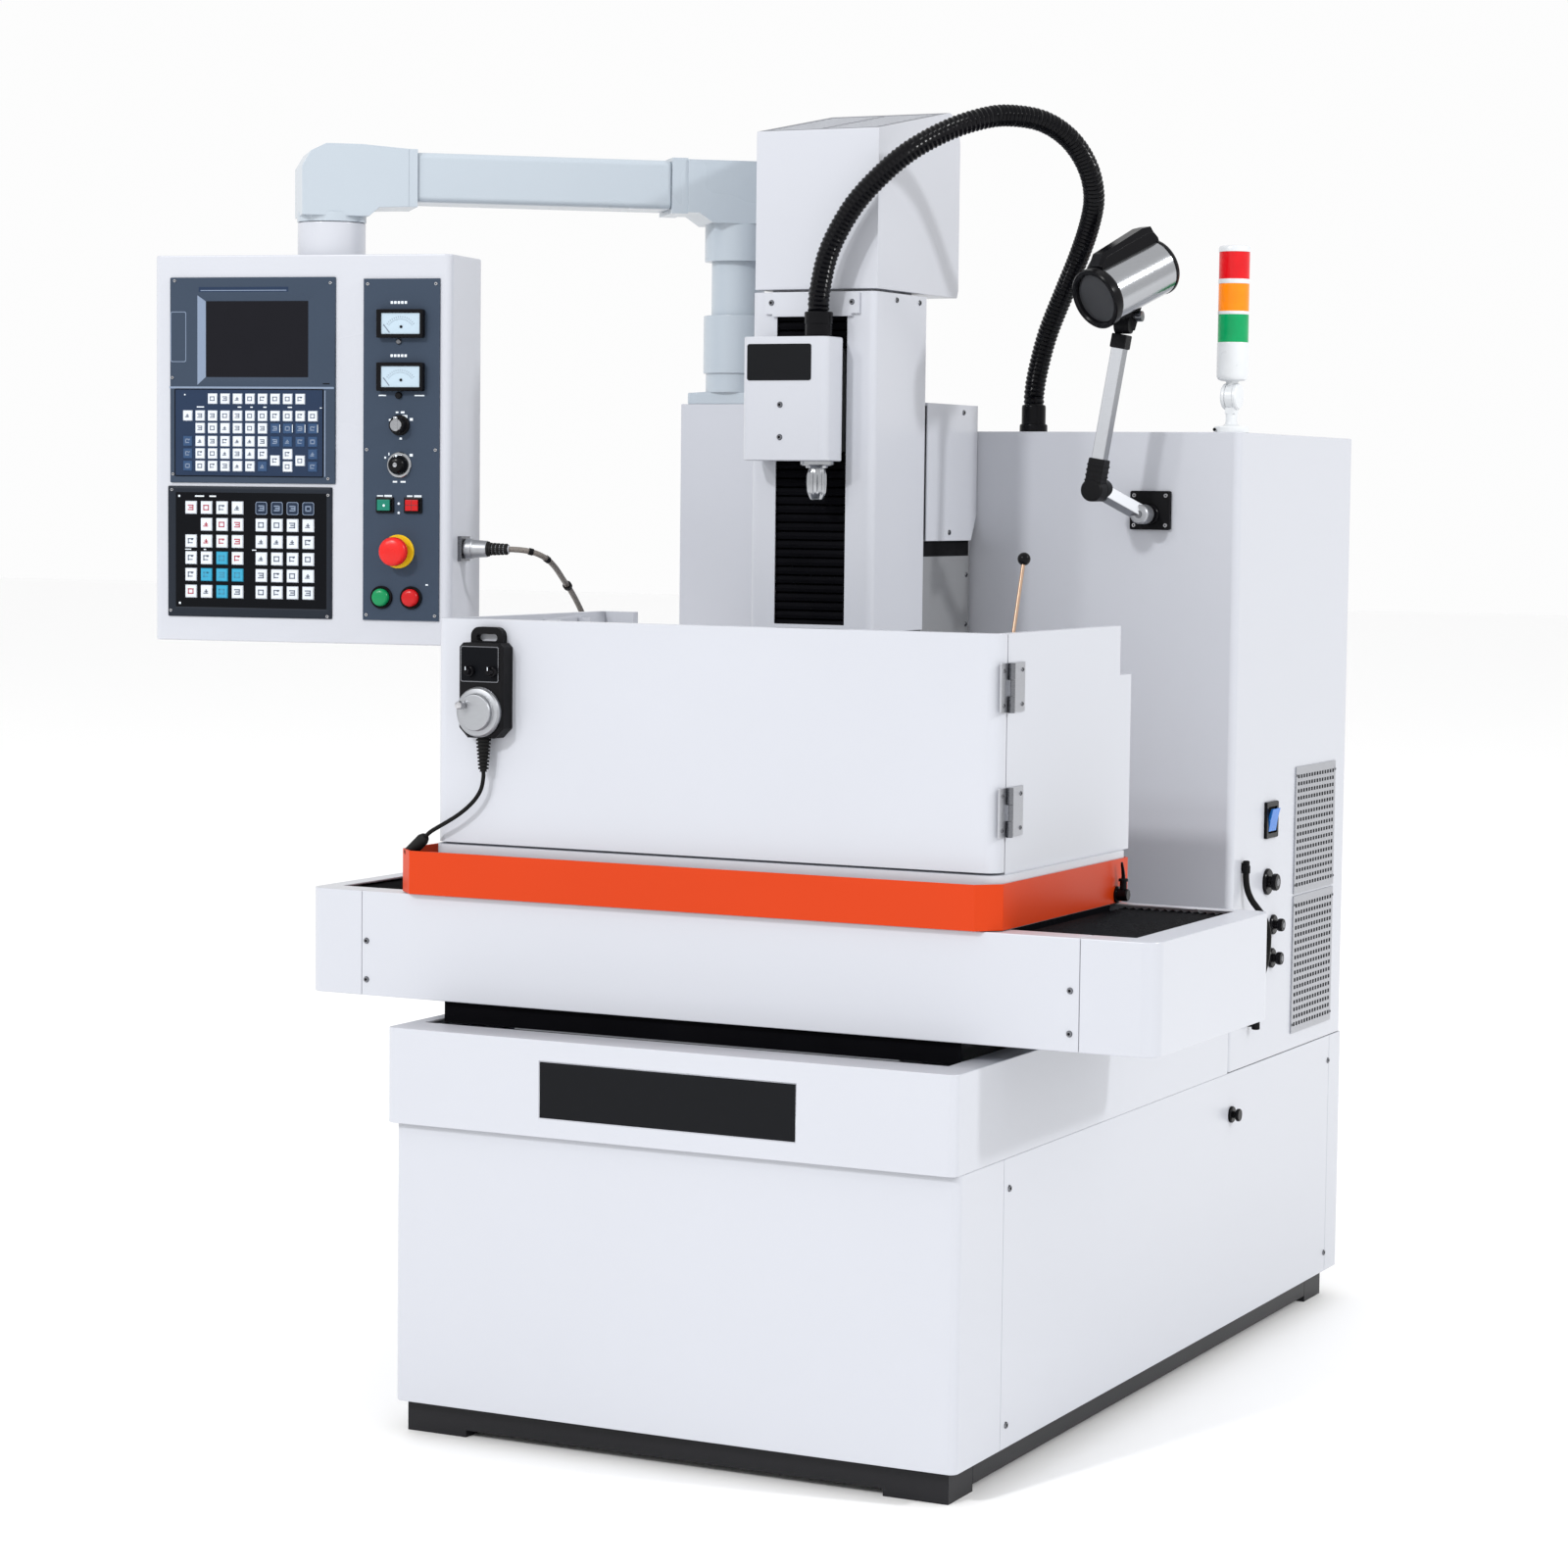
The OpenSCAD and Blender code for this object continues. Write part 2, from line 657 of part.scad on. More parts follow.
// Tray with cut corners that catches what the tank spills
module spill_tray() {
  cut = 29;
  color(tray_paint) difference() {
    translate([0, 0, tray_z]) linear_extrude(tray_h) cut_rect(tray_x, tray_y, cut);
    translate([0, 0, tray_z + sheet]) linear_extrude(tray_h)
      cut_rect([tray_x[0] + sheet, tray_x[1] - sheet], [tray_y[0] + sheet, tray_y[1] - sheet], cut - 1);
  }
}

// A rectangle with its corners cut off
module cut_rect(x, y, c) {
  polygon([
    [x[0] + c, y[0]], [x[1] - c, y[0]], [x[1], y[0] + c], [x[1], y[1] - c],
    [x[1] - c, y[1]], [x[0] + c, y[1]], [x[0], y[1] - c], [x[0], y[0] + c]
  ]);
}

// Tank: a raised base with an open front, high sides and a low back that passes under the ram
module work_tank() {
  base_x = [tank_x[0] - 4, tray_x[1] - sheet - 1];
  base_y = [tray_y[0] + 24, tank_back];
  left = [tank_x[0], tank_x[0] + tank_wall];
  right = [tank_x[1] - tank_wall, tank_x[1]];
  back = [tank_back - tank_wall, tank_back];
  color(paint) {
    difference() {
      round_block(base_x, base_y, [tray_z + sheet, tank_floor], 24);
      translate([base_x[1], base_y[1], tray_z]) rotate([0, 0, 45]) cube([46, 46, 200], center = true);
      block([base_x[0] + 20, base_x[1] - 20], [base_y[0] + 20, base_y[1] - 20], [tray_z, tank_floor - 16]);
    }
    block(left, [tank_front, tank_back], [tank_floor, tank_top]);
    block(right, [tank_front, side_back], [tank_floor, tank_top]);
    block(right, [side_back, tank_back], [tank_floor, low_wall_z]);
    block([left[1], right[0]], back, [tank_floor, low_wall_z]);
    block([left[1], tank_x[0] + 64], back, [low_wall_z, tank_top]);
    block([left[1], left[1] + 28], [-404, -392], [tank_floor, tank_top - 8]);
    block([left[1], left[1] + 22], [-300, -288], [tank_floor, tank_top - 8]);
    block([left[1], right[0]], [tank_front, tank_front + 10], [tank_floor, tank_floor + 18]);
    bar_x([right[0] - 10, -590, 1060], 11, 8);
  }
  color(steel) for (z = hinge_z) {
    block([tank_x[1], tank_x[1] + 2], [hinge_pin[1] + 2, hinge_pin[1] + 54], [z - 33, z + 33]);
    for (k = [z - 33, z + 11.5]) {
      block([tank_x[1] + 1, hinge_pin[0]], [hinge_pin[1], hinge_pin[1] + 3], [k, k + 21.5]);
      bar_z([hinge_pin[0], hinge_pin[1], k], 21.5, 4);
    }
  }
}

// Socket of the hand pendant and the drain stub with its stop screw
module tray_fittings() {
  floor_z = tray_z + sheet;
  plug_end = pendant_route[len(pendant_route) - 1];
  color(black) {
    block([-470, -444], [-688, -666], [floor_z, floor_z + 48]);
    along([-464, -684, 822], plug_end) bar_z([0, 0, 0], norm(plug_end - [-464, -684, 822]) - 0.2, 9);
    bar_x([tray_x[1], drain[1], 769], 18, 9);
    bar_z([drain[0], drain[1], 778], 10, 5);
    bar_x([tray_x[1], -243, 772], 3, 4);
  }
}

module drain_lever() {
  color(black) {
    bar_z([drain[0], drain[1], 788.5], 4, 7);
    translate([drain[0] - 2, drain[1] - 4, 790]) rotate([12, 0, 0]) cube([4, 8, 26]);
  }
}

module level_rod() {
  foot = [406, -590, 1060];
  tip = [406, -528, 1247];
  color("#b08763") along(foot, tip) bar_z([0, 0, 0], norm(tip - foot), 2.5);
  color(steel) bar_x([400, foot[1], foot[2]], 11.5, 9);
  color(black) translate(tip) sphere(9);
}

module tank_door() {
  dx = [tank_x[0] - 2, tank_x[1]];
  dy = [tank_front - 2 - door_t, tank_front - 2];
  dz = [tank_floor + 3, tank_top];
  color(paint) difference() {
    round_block(dx, [dy[0], dy[1] + 24], dz, 20);
    block([dx[0] - 1, dx[1] + 1], [dy[1], dy[1] + 25], [dz[0] - 1, dz[1] + 1]);
    block([dx[0] + 20, dx[1] - 20], [dy[0] + sheet, dy[1] - sheet], [dz[0] + sheet, dz[1] - sheet]);
  }
  color(steel) for (z = hinge_z) {
    block([dx[1] - 3, dx[1] + 2], [dy[1] - 12, dy[1] - 1], [z - 33, z + 33]);
    block([dx[1] + 1, hinge_pin[0]], [dy[1] - 3, hinge_pin[1]], [z - 10.5, z + 10.5]);
    bar_z([hinge_pin[0], hinge_pin[1], z - 10.5], 21, 4);
  }
}

// ---- hand pendant, which hangs on the tank door ----

module pendant_body() {
  back = tank_front - 2 - door_t;
  front = pendant_face;
  mid = pendant_mid;
  color(black) difference() {
    union() {
      translate([0, back, 0]) rotate([90, 0, 0]) linear_extrude(back - front)
        cut_rect([mid - 36, mid + 36], [984, 1118], 12);
      round_prism_y([mid - 26, mid + 26], [back - 12, back], [1096, 1140], 14);
      translate(pendant_route[0]) cylinder(h = 53, r1 = 7, r2 = 11);
    }
    round_prism_y([mid - 17, mid + 17], [back - 13, back + 1], [1120, 1130], 4.5);
  }
  color("#4a4e55") block([mid - 31, mid + 31], [front - 1, front], [1063, 1113]);
}

// A block whose edges along y are rounded
module round_prism_y(x, y, z, r) {
  translate([0, y[1], 0]) rotate([90, 0, 0]) linear_extrude(y[1] - y[0]) round_rect(x, z, r);
}

module pendant_wheel() {
  face = pendant_face - 0.3;
  color("#a9adb3") {
    bar_y([pendant_mid, face - 8, 1021], 8, 35);
    bar_y([pendant_mid, face - 17, 1021], 9, 26);
    bar_y([pendant_mid - 17, face - 33, 1031], 16, 6);
  }
}

module pendant_knob(x) {
  face = pendant_face - 1.3;
  color(black) {
    bar_y([x, face - 5, 1078], 5, 7.5);
    bar_y([x, face - 13, 1078], 8, 5);
  }
}

module pendant_knob_left() {
  pendant_knob(pendant_mid - 15);
}

module pendant_knob_right() {
  pendant_knob(pendant_mid + 21);
}

module pendant_cable() {
  color(black) tube(pendant_route, pendant_d, 8, [0, 1, 0]);
}

// ---- cabinet ----

module cabinet() {
  back = y1 - 8;
  bottom = seam_z + 1;
  plate = [back - sheet - 5, back - sheet];
  color(paint) {
    difference() {
      round_block([x0, x1], [cabinet_front, back], [bottom, cabinet_top], corner_r);
      round_block([x0 + sheet, x1 - sheet], [cabinet_front + sheet, back - sheet],
        [bottom + sheet, cabinet_top - sheet], corner_r - sheet);
    }
    for (x = [-330, 270]) block([x, x + 60], [260, 740], [bed_top, bottom]);
  }
  color("#8d9196") block([x0 + 40, x1 - 60], plate, [bottom + 40, cabinet_top - 60]);
  color(slate) for (z = [620, 900, 1150]) block([-200, 200], [plate[0] - 90, plate[0]], [z, z + 120]);
}

// Two perforated plates, one above the other
module cabinet_grille() {
  ys = [530, 729];
  cols = 5;
  rows = 12;
  color(steel) for (z = [[471, 694], [698, 903]]) {
    step_y = (ys[1] - ys[0]) / cols;
    step_z = (z[1] - z[0]) / rows;
    slot = [5, step_y * 0.7, step_z * 0.56];
    difference() {
      block([x1, x1 + 2.5], ys, z);
      for (c = [0:cols - 1], r = [0:rows - 1])
        translate([x1 + 1, ys[0] + (c + 0.5) * step_y, z[0] + (r + 0.5) * step_z]) cube(slot, center = true);
    }
  }
}

module cabinet_fittings() {
  hose_end = hose_route[len(hose_route) - 1];
  side_end = side_route[len(side_route) - 1];
  rear_end = control_route_rear[len(control_route_rear) - 1];
  plate_y = cabinet_front - 7;
  color(black) {
    bar_z([hose_end[0], hose_end[1], cabinet_top], 12, 21);
    bar_z([hose_end[0], hose_end[1], cabinet_top + 12], hose_end[2] - cabinet_top - 12, 18.5);
    side_socket([403, 729], 21);
    for (p = [[434, 658], [430, 605]]) side_socket(p, 16);
    side_gland(side_route[0]);
    side_gland(side_end - [0, 0, 20]);
    difference() {
      block([x1, x1 + 5], [384, 440], [798, 856]);
      block([x1 + 2, x1 + 6], [392, 432], [806, 848]);
    }
    block([262, 328], [plate_y, cabinet_front], [1283, 1343]);
    bar_y([lamp_pivot[0], lamp_pivot[1] + gap, lamp_pivot[2]], plate_y - lamp_pivot[1] - gap, 14);
    bar_x(rear_end, column_left - rear_end[0], 9);
  }
  color(paint) tower_stand();
}

// A round socket with a cap, on the side of the cabinet
module side_socket(p, r) {
  bar_x([x1, p[0], p[1]], 5, r);
  bar_x([x1 + 5, p[0], p[1]], 5, r * 0.4);
  bar_x([x1 + 10, p[0], p[1]], 9, r * 0.65);
}

// A cable gland on the side of the cabinet or the rim; the cable leaves along z
module side_gland(p) {
  bar_z(p, 20, 6.5);
  block([x1, p[0]], [p[1] - 4, p[1] + 4], [p[2] + 4, p[2] + 16]);
}

module tower_stand() {
  hub_r = 12;
  slot = tower_hinge_w / 2 + gap;
  bar_z([tower[0], tower[1], cabinet_top], 8, 26);
  bar_z([tower[0], tower[1], cabinet_top + 8], tower_fold_z - cabinet_top - 18, 8);
  difference() {
    bar_x([tower[0] - 13, tower[1], tower_fold_z], 26, hub_r);
    block([tower[0] - slot, tower[0] + slot], [tower[1] - 20, tower[1] + 20],
      [tower_fold_z - 9, tower_fold_z + 20]);
  }
}

// The rocker fills its frame and turns on a pin; its raised half is at the top
module power_rocker() {
  ry = [394.5, 429.5];
  color("#3b7fd4") {
    translate([0, ry[0], 0]) rotate([90, 0, 0]) mirror([0, 0, 1]) linear_extrude(ry[1] - ry[0])
      polygon([
        [x1 + 3, 809], [x1 + 4.5, 809], [x1 + 7.2, 827], [x1 + 11.5, 845], [x1 + 8, 845], [x1 + 3, 831]
      ]);
    bar_y([x1 + 5, ry[0] - 2, 827], ry[1] - ry[0] + 4, 2);
  }
}

// Screw heads that hold the fixed covers
module cover_screws() {
  ear_x = (ram_x[0] + ram_x[1]) / 2;
  color(steel) {
    for (y = [-620, 728], z = [78, 402]) side_screw([x1, y, z], 5);
    for (p = [[-75, 1624], [8, 1624], [180, 1462], [130, 1275]]) side_screw([ram_x[1], p[0], p[1]], 4);
    for (z = [1130, 1208]) side_screw([ram_x[1] - 7, 214, z], 4);
    for (side = [-1, 1]) translate([ear_x + side * 67, ram_y[0] - 6, 1618]) rotate([90, 0, 0]) screw_head(4);
  }
}

module side_screw(p, r) {
  translate(p) rotate([0, 90, 0]) screw_head(r);
}

module side_cable() {
  color(black) tube(side_route, side_d, 10, [0, 1, 0]);
}

// ---- operator arm ----

module arm_pole() {
  color(arm_paint) {
    round_block([pole[0] - 70, pole[0] + 70], [pole[1] - 42, pole[1] + 58], [column_top, column_top + 18], 10);
    bar_z([pole[0], pole[1], column_top + 18], 30, 50);
    bar_z([pole[0], pole[1], column_top + 48], pole_z - column_top - 48, 54);
  }
}

// Things drawn along the arm: x runs from the pole to the panel's swivel
module on_arm() {
  translate([pole[0], pole[1], 0]) rotate([0, 0, 180 + arm_turn]) children();
}

module arm_elbow_right() {
  top = beam_z[1] + 2;
  color(arm_paint) on_arm() {
    bar_z([0, 0, pole_z + 0.5], 84, 42);
    bar_z([0, 0, pole_z + 84.5], 58, elbow_r);
    rotate([90, 0, 0]) linear_extrude(2 * elbow_r, center = true) polygon([
      [-elbow_r, pole_z + 142], [elbow_r, pole_z + 142], [elbow_r + 22, beam_z[0] - 4],
      [93, beam_z[0] - 4], [93, top], [-20, top], [-elbow_r, top - 30]
    ]);
    block([93, 118], [-beam_w / 2 - 4, beam_w / 2 + 4], [beam_z[0] - 6, beam_z[1] + 4]);
  }
}

module arm_beam() {
  color(arm_paint) on_arm() translate([118, 0, 0]) rotate([90, 0, 90]) linear_extrude(arm_len - 118 - 126)
    round_rect([-beam_w / 2, beam_w / 2], beam_z, 10);
}

module arm_elbow_left() {
  top = beam_z[1] + 9;
  socket_z = 1739.5;
  color(arm_paint) on_arm() {
    block([arm_len - 126, arm_len - 112], [-beam_w / 2 - 4, beam_w / 2 + 4], [beam_z[0] - 8, beam_z[1] + 4]);
    rotate([90, 0, 0]) linear_extrude(2 * elbow_r - 4, center = true) polygon([
      [arm_len - 112, beam_z[0] - 8], [arm_len - elbow_r - 14, beam_z[0] - 10],
      [arm_len - elbow_r + 2, beam_z[0] - 24],
      [arm_len + elbow_r - 2, beam_z[0] - 24], [arm_len + elbow_r - 2, top - 34], [arm_len + 38, top - 12],
      [arm_len + 14, top], [arm_len - 40, top], [arm_len - 112, beam_z[1] + 4]
    ]);
    bar_z([arm_len, 0, socket_z], beam_z[0] - 24 - socket_z + 6, elbow_r);
  }
}

// ---- operator panel ----

// Things on the control box: x to its right, y into it, z up from the floor
module on_panel() {
  translate([swivel[0], swivel[1], 0]) rotate([0, 0, panel_turn]) children();
}

module control_box() {
  half = panel_d / 2;
  wall = 4;
  color(paint) on_panel() {
    difference() {
      round_block(panel_x, [-half, half], panel_z, corner_r);
      round_block([panel_x[0] + wall, panel_x[1] - wall], [wall - half, half - wall],
        [panel_z[0] + wall, panel_z[1] - wall], corner_r - wall);
    }
    bar_z([0, 0, panel_z[1]], 52, elbow_r - 1);
  }
  color(steel) on_panel() {
    bar_x([panel_x[1], -18, 1243], 6, 15);
    bar_x([panel_x[1] + 6, -18, 1243], 34, 12);
    bar_x([panel_x[1] + 40, -18, 1243], 36.5, 7);
  }
}

module display_panel() {
  color(slate) on_panel() {
    difference() {
      block([-237, 36], [plate_face, panel_face], [1339, 1653]);
      block([-178, -11], [plate_face - 1, panel_face - 1], [1501, 1617]);
      block([-191, -41], [plate_face - 1, panel_face - 1], [1630, 1639]);
    }
    block([-241, 31], [plate_face, panel_face], [1133, 1334]);
  }
}

// A square key that stands on the face of a panel
module key(x, z, size) {
  translate([x - size / 2, plate_face - key_t, z - size / 2]) cube([size, key_t, size]);
}

module panel_keys() {
  size = 15.5;
  pitch = 20.7;
  low_size = 19;
  low_pitch = 25.8;
  shared = [0, 1, 2, 3, 4, 5, 6, 8, 10];
  color("#dfe6ee") on_panel() {
    for (i = [2:9]) key(key_x[0] + i * pitch, 1468, size);
    for (i = [0:10], z = [1442, 1403]) key(key_x[0] + i * pitch, z, size);
    for (i = [1:10]) key(key_x[0] + i * pitch, 1423, size);
    for (i = shared, z = [1384, 1365]) key(key_x[0] + i * pitch, z, size);
    for (i = [7, 9]) key(key_x[0] + i * pitch, 1374, size);
    for (i = [0:3], row = [0:5]) {
      if (i > 0 || row != 1) key(key_x[1] + i * low_pitch, 1301 - row * low_pitch, low_size);
      key(key_x[2] + i * low_pitch, 1301 - row * low_pitch, low_size);
    }
  }
}

// Panel with the meters, the dials and the push buttons; the buttons run in its collars
module operator_panel() {
  collar = [plate_face - 4, plate_face];
  color(slate) on_panel() block([82, 205], [plate_face, panel_face], [1133, 1650]);
  color(black) on_panel() {
    for (z = [1502, 1582]) block([107, 179], [plate_face - 12, plate_face], [z - 21, z + 21]);
    for (z = [1474, 1555]) bar_y([140, plate_face - 6, z], 6, 4);
    for (x = square_x) difference() {
      block([x - 15, x + 15], collar, [square_z - 15, square_z + 15]);
      block([x - 12, x + 12], [collar[0] - 1, collar[1]], [square_z - 12, square_z + 12]);
    }
  }
  color("#e8c81e") on_panel() ring_collar(stop_at, 25.5, 14);
  color(black) on_panel() for (x = round_x) ring_collar([x, round_z], 17.5, 14);
  color(steel) on_panel() {
    for (x = [88, 199], z = [1141, 1392, 1642]) translate([x, plate_face, z]) rotate([90, 0, 0]) screw_head(3);
  }
}

// A collar on the operator panel that a round button runs in
module ring_collar(p, r, bore) {
  difference() {
    bar_y([p[0], plate_face - 4, p[1]], 4, r);
    bar_y([p[0], plate_face - 5, p[1]], 5, bore);
  }
}

module dial(x, z, r) {
  face = plate_face - 0.3;
  color(black) on_panel() {
    bar_y([x, face - 5, z], 5, r);
    bar_y([x, face - 20, z], 15, r * 0.66);
  }
  color("#eef0f2") on_panel() block([x - 0.8, x + 0.8], [face - 20.6, face - 20], [z, z + r * 0.6]);
}

module dial_upper() {
  dial(142, 1429, 15);
}

module dial_lower() {
  dial(141, 1369, 19);
}

module square_button(x, shade) {
  reach = 12 - gap;
  color(shade) on_panel()
    block([x - reach, x + reach], [plate_face - 10, plate_face - 3], [square_z - reach, square_z + reach]);
}

module square_button_green() {
  square_button(square_x[0], "#2f8f5b");
}

module square_button_red() {
  square_button(square_x[1], "#a5262b");
}

module round_button(x, shade) {
  color(shade) on_panel() bar_y([x, plate_face - 12, round_z], 9, 13.5);
}

module round_button_green() {
  round_button(round_x[0], "#178a4a");
}

module round_button_red() {
  round_button(round_x[1], "#c3202b");
}

module emergency_stop() {
  color("#d8202a") on_panel() translate([stop_at[0], plate_face - 4.5, stop_at[1]]) rotate([90, 0, 0])
    rotate_extrude() polygon([
      [0, 0], [13, 0], [13, 9], [20, 11], [22, 15], [22, 20], [19, 24], [12, 27], [0, 28]
    ]);
}

module control_cable_front() {
  color("#6b6259") tube(control_route_front, control_d, 10, [0, 0, 1]);
}

module control_cable_rear() {
  start = control_route_rear[0];
  sleeve = control_route_front[len(control_route_front) - 1];
  color("#6b6259") tube(control_route_rear, control_d, 10, [0, 0, 1]);
  color(black) along(sleeve, start) bar_z([0, 0, 0.2], norm(start - sleeve) - 0.4, 7);
}

// ---- lamp and tower light ----

module lamp_lower_arm() {
  start = lamp_pivot - [0, 12, 0];
  end = lamp_elbow + [0, 8, 0];
  color(lamp_paint) {
    bar_y(lamp_pivot - [0, 24, 0], 24, 13);
    along(start, end) lamp_tube(lamp_low_w, 8, norm(end - start) - 8);
  }
  color(black) bar_y(lamp_elbow + [0, 0.3, 0], 15, 16);
}

module lamp_upper_arm() {
  start = lamp_elbow - [0, 14.4, 0];
  end = lamp_yoke - [0, 5, 0];
  top = norm(end - start) - 13;
  color(black) {
    bar_y(lamp_elbow - [0, 28, 0], 27.7, 17);
    along(start, end) {
      lamp_tube(lamp_w + 2, 0, 48);
      lamp_tube(lamp_w + 4, top - 22, top);
    }
  }
  color(lamp_paint) along(start, end) lamp_tube(lamp_w, 40, top - 20);
}

// A square piece of a lamp arm between two distances along it
module lamp_tube(w, from, to) {
  translate([-w / 2, -w / 2, from]) cube([w, w, to - from]);
}

module lamp_head() {
  len = norm(lamp_back - lamp_front);
  color(lamp_paint) along(lamp_front, lamp_back) difference() {
    rotate_extrude() polygon([
      [0, 8], [lamp_r - 6, 8], [lamp_r - 3, 0], [lamp_r, 0], [lamp_r, 16], [lamp_r - 3, 20],
      [lamp_r - 3, len - 10], [lamp_r - 14, len], [0, len]
    ]);
    translate([0, 0, 12]) cylinder(h = len - 32, r = lamp_r - 10);
  }
  color(black) {
    along(lamp_front, lamp_back) translate([0, 17, 0]) rotate([90, 0, 0]) linear_extrude(34)
      polygon([
        [7.5 - lamp_r, 10], [-lamp_r - 4, 10], [-lamp_r - 20, len - 20], [-lamp_r - 12, len - 4],
        [7.5 - lamp_r, len - 13]
      ]);
    bar_x(lamp_yoke - [13, 0, 0], 26, 10);
    translate(lamp_yoke - [12, 8, 0]) cube([24, 22, 46]);
    bar_x(lamp_yoke + [12, 2, 14], 16, 8);
  }
}

module tower_light() {
  lenses = [["#1f9d57", 1579, 1620], ["#f08a1d", 1622, 1665], ["#d8232a", 1667, 1710]];
  hub = tower_hinge_w / 2;
  color("#eef0f2") {
    bar_x([tower[0] - hub, tower[1], tower_fold_z], tower_hinge_w, 8);
    bar_z([tower[0], tower[1], tower_fold_z], 16, hub - 1);
    bar_z([tower[0], tower[1], tower_fold_z + 14], 16, 8);
    bar_z([tower[0], tower[1], 1519], 60, 24);
    bar_z([tower[0], tower[1], 1579], 132, 12);
    bar_z([tower[0], tower[1], 1711], 8, 24);
  }
  for (lens = lenses) color(lens[0]) difference() {
    bar_z([tower[0], tower[1], lens[1]], lens[2] - lens[1], 23.5);
    bar_z([tower[0], tower[1], lens[1] - 1], lens[2] - lens[1] + 2, 12);
  }
}

plinth();
bed_casting();
front_skirt();
skirt_panels();
upper_rim();
panel_latch();
column();
column_cover();
ram_housing();
top_cover();
cabinet();
cabinet_grille();
cabinet_fittings();
power_rocker();
cover_screws();
y_bellows();
z_bellows();
conduit_hose();
side_cable();
saddle_casting();
saddle_cover();
saddle_end_caps();
x_bellows();
table_carriage();
work_table();
spill_tray();
work_tank();
tray_fittings();
drain_lever();
level_rod();
tank_door();
pendant_body();
pendant_wheel();
pendant_knob_left();
pendant_knob_right();
pendant_cable();
head_housing();
z_carriage();
spindle_chuck();
arm_pole();
arm_elbow_right();
arm_beam();
arm_elbow_left();
control_box();
display_panel();
panel_keys();
operator_panel();
emergency_stop();
square_button_green();
square_button_red();
round_button_green();
round_button_red();
dial_upper();
dial_lower();
control_cable_front();
control_cable_rear();
lamp_lower_arm();
lamp_upper_arm();
lamp_head();
tower_light();
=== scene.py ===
"""Looks of the electrical discharge drilling machine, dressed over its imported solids."""
import json
import math

import bmesh
import bpy
from mathutils import Matrix, Vector


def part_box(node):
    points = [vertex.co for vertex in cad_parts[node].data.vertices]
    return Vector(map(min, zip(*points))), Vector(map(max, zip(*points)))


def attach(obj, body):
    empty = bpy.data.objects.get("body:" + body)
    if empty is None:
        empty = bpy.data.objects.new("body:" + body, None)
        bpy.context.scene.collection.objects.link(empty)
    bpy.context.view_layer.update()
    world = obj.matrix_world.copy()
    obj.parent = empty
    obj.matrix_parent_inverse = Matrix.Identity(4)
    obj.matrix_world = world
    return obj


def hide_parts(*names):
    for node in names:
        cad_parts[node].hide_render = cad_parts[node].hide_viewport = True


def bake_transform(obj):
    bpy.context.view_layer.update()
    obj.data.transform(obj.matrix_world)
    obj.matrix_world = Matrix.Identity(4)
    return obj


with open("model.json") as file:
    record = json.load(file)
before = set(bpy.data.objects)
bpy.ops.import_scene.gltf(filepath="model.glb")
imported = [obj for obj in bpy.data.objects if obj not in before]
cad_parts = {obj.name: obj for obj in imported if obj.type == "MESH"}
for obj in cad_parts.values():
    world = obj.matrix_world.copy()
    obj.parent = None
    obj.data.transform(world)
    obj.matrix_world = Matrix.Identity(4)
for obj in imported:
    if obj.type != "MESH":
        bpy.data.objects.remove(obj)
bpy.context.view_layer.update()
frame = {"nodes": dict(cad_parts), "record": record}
NODES, RECORD = frame["nodes"], frame["record"]
FORWARD, SIDEWAYS, UPWARD, DOWNWARD = (0, -1, 0), (1, 0, 0), (0, 0, 1), (0, 0, -1)
HEADING, TILT, ROLL, SENSOR_WIDTH, FOCAL_LENGTH = 26.468, 4.338, 0.646, 36, 86.7
CAMERA_AT = (2403.1, -5261.5, 1326.4)


def link(name, data):
    """An object for some data, put into the scene."""
    made = bpy.data.objects.new(name, data)
    bpy.context.collection.objects.link(made)
    return made


def place_camera():
    yaw, pitch, roll = (math.radians(a) for a in (HEADING, TILT, ROLL))
    ahead = Vector((-math.sin(yaw) * math.cos(pitch), math.cos(yaw) * math.cos(pitch), -math.sin(pitch)))
    level = Vector((math.cos(yaw), math.sin(yaw), 0))
    upright = level.cross(ahead)
    right = level * math.cos(roll) + upright * math.sin(roll)
    up = upright * math.cos(roll) - level * math.sin(roll)
    data = bpy.data.cameras.new("camera")
    data.sensor_width, data.lens = SENSOR_WIDTH, FOCAL_LENGTH
    camera = link("camera", data)
    turn = Matrix((right, up, -ahead)).transposed().to_4x4()
    camera.matrix_world = Matrix.Translation(Vector(CAMERA_AT) / 1000) @ turn
    bpy.context.scene.camera = camera


place_camera()


# ---- finishes ----

class Value:
    """A number or colour that varies over a surface, with the arithmetic the finishes use."""

    def __init__(self, finish, socket):
        self.finish, self.socket = finish, socket

    def math(self, operation, other):
        return self.finish.node("ShaderNodeMath", {"operation": operation}, [self, other])[0]

    def __add__(self, other):
        return self.math("ADD", other)

    def __mul__(self, other):
        return self.math("MULTIPLY", other)

    __radd__ = __add__
    __rmul__ = __mul__


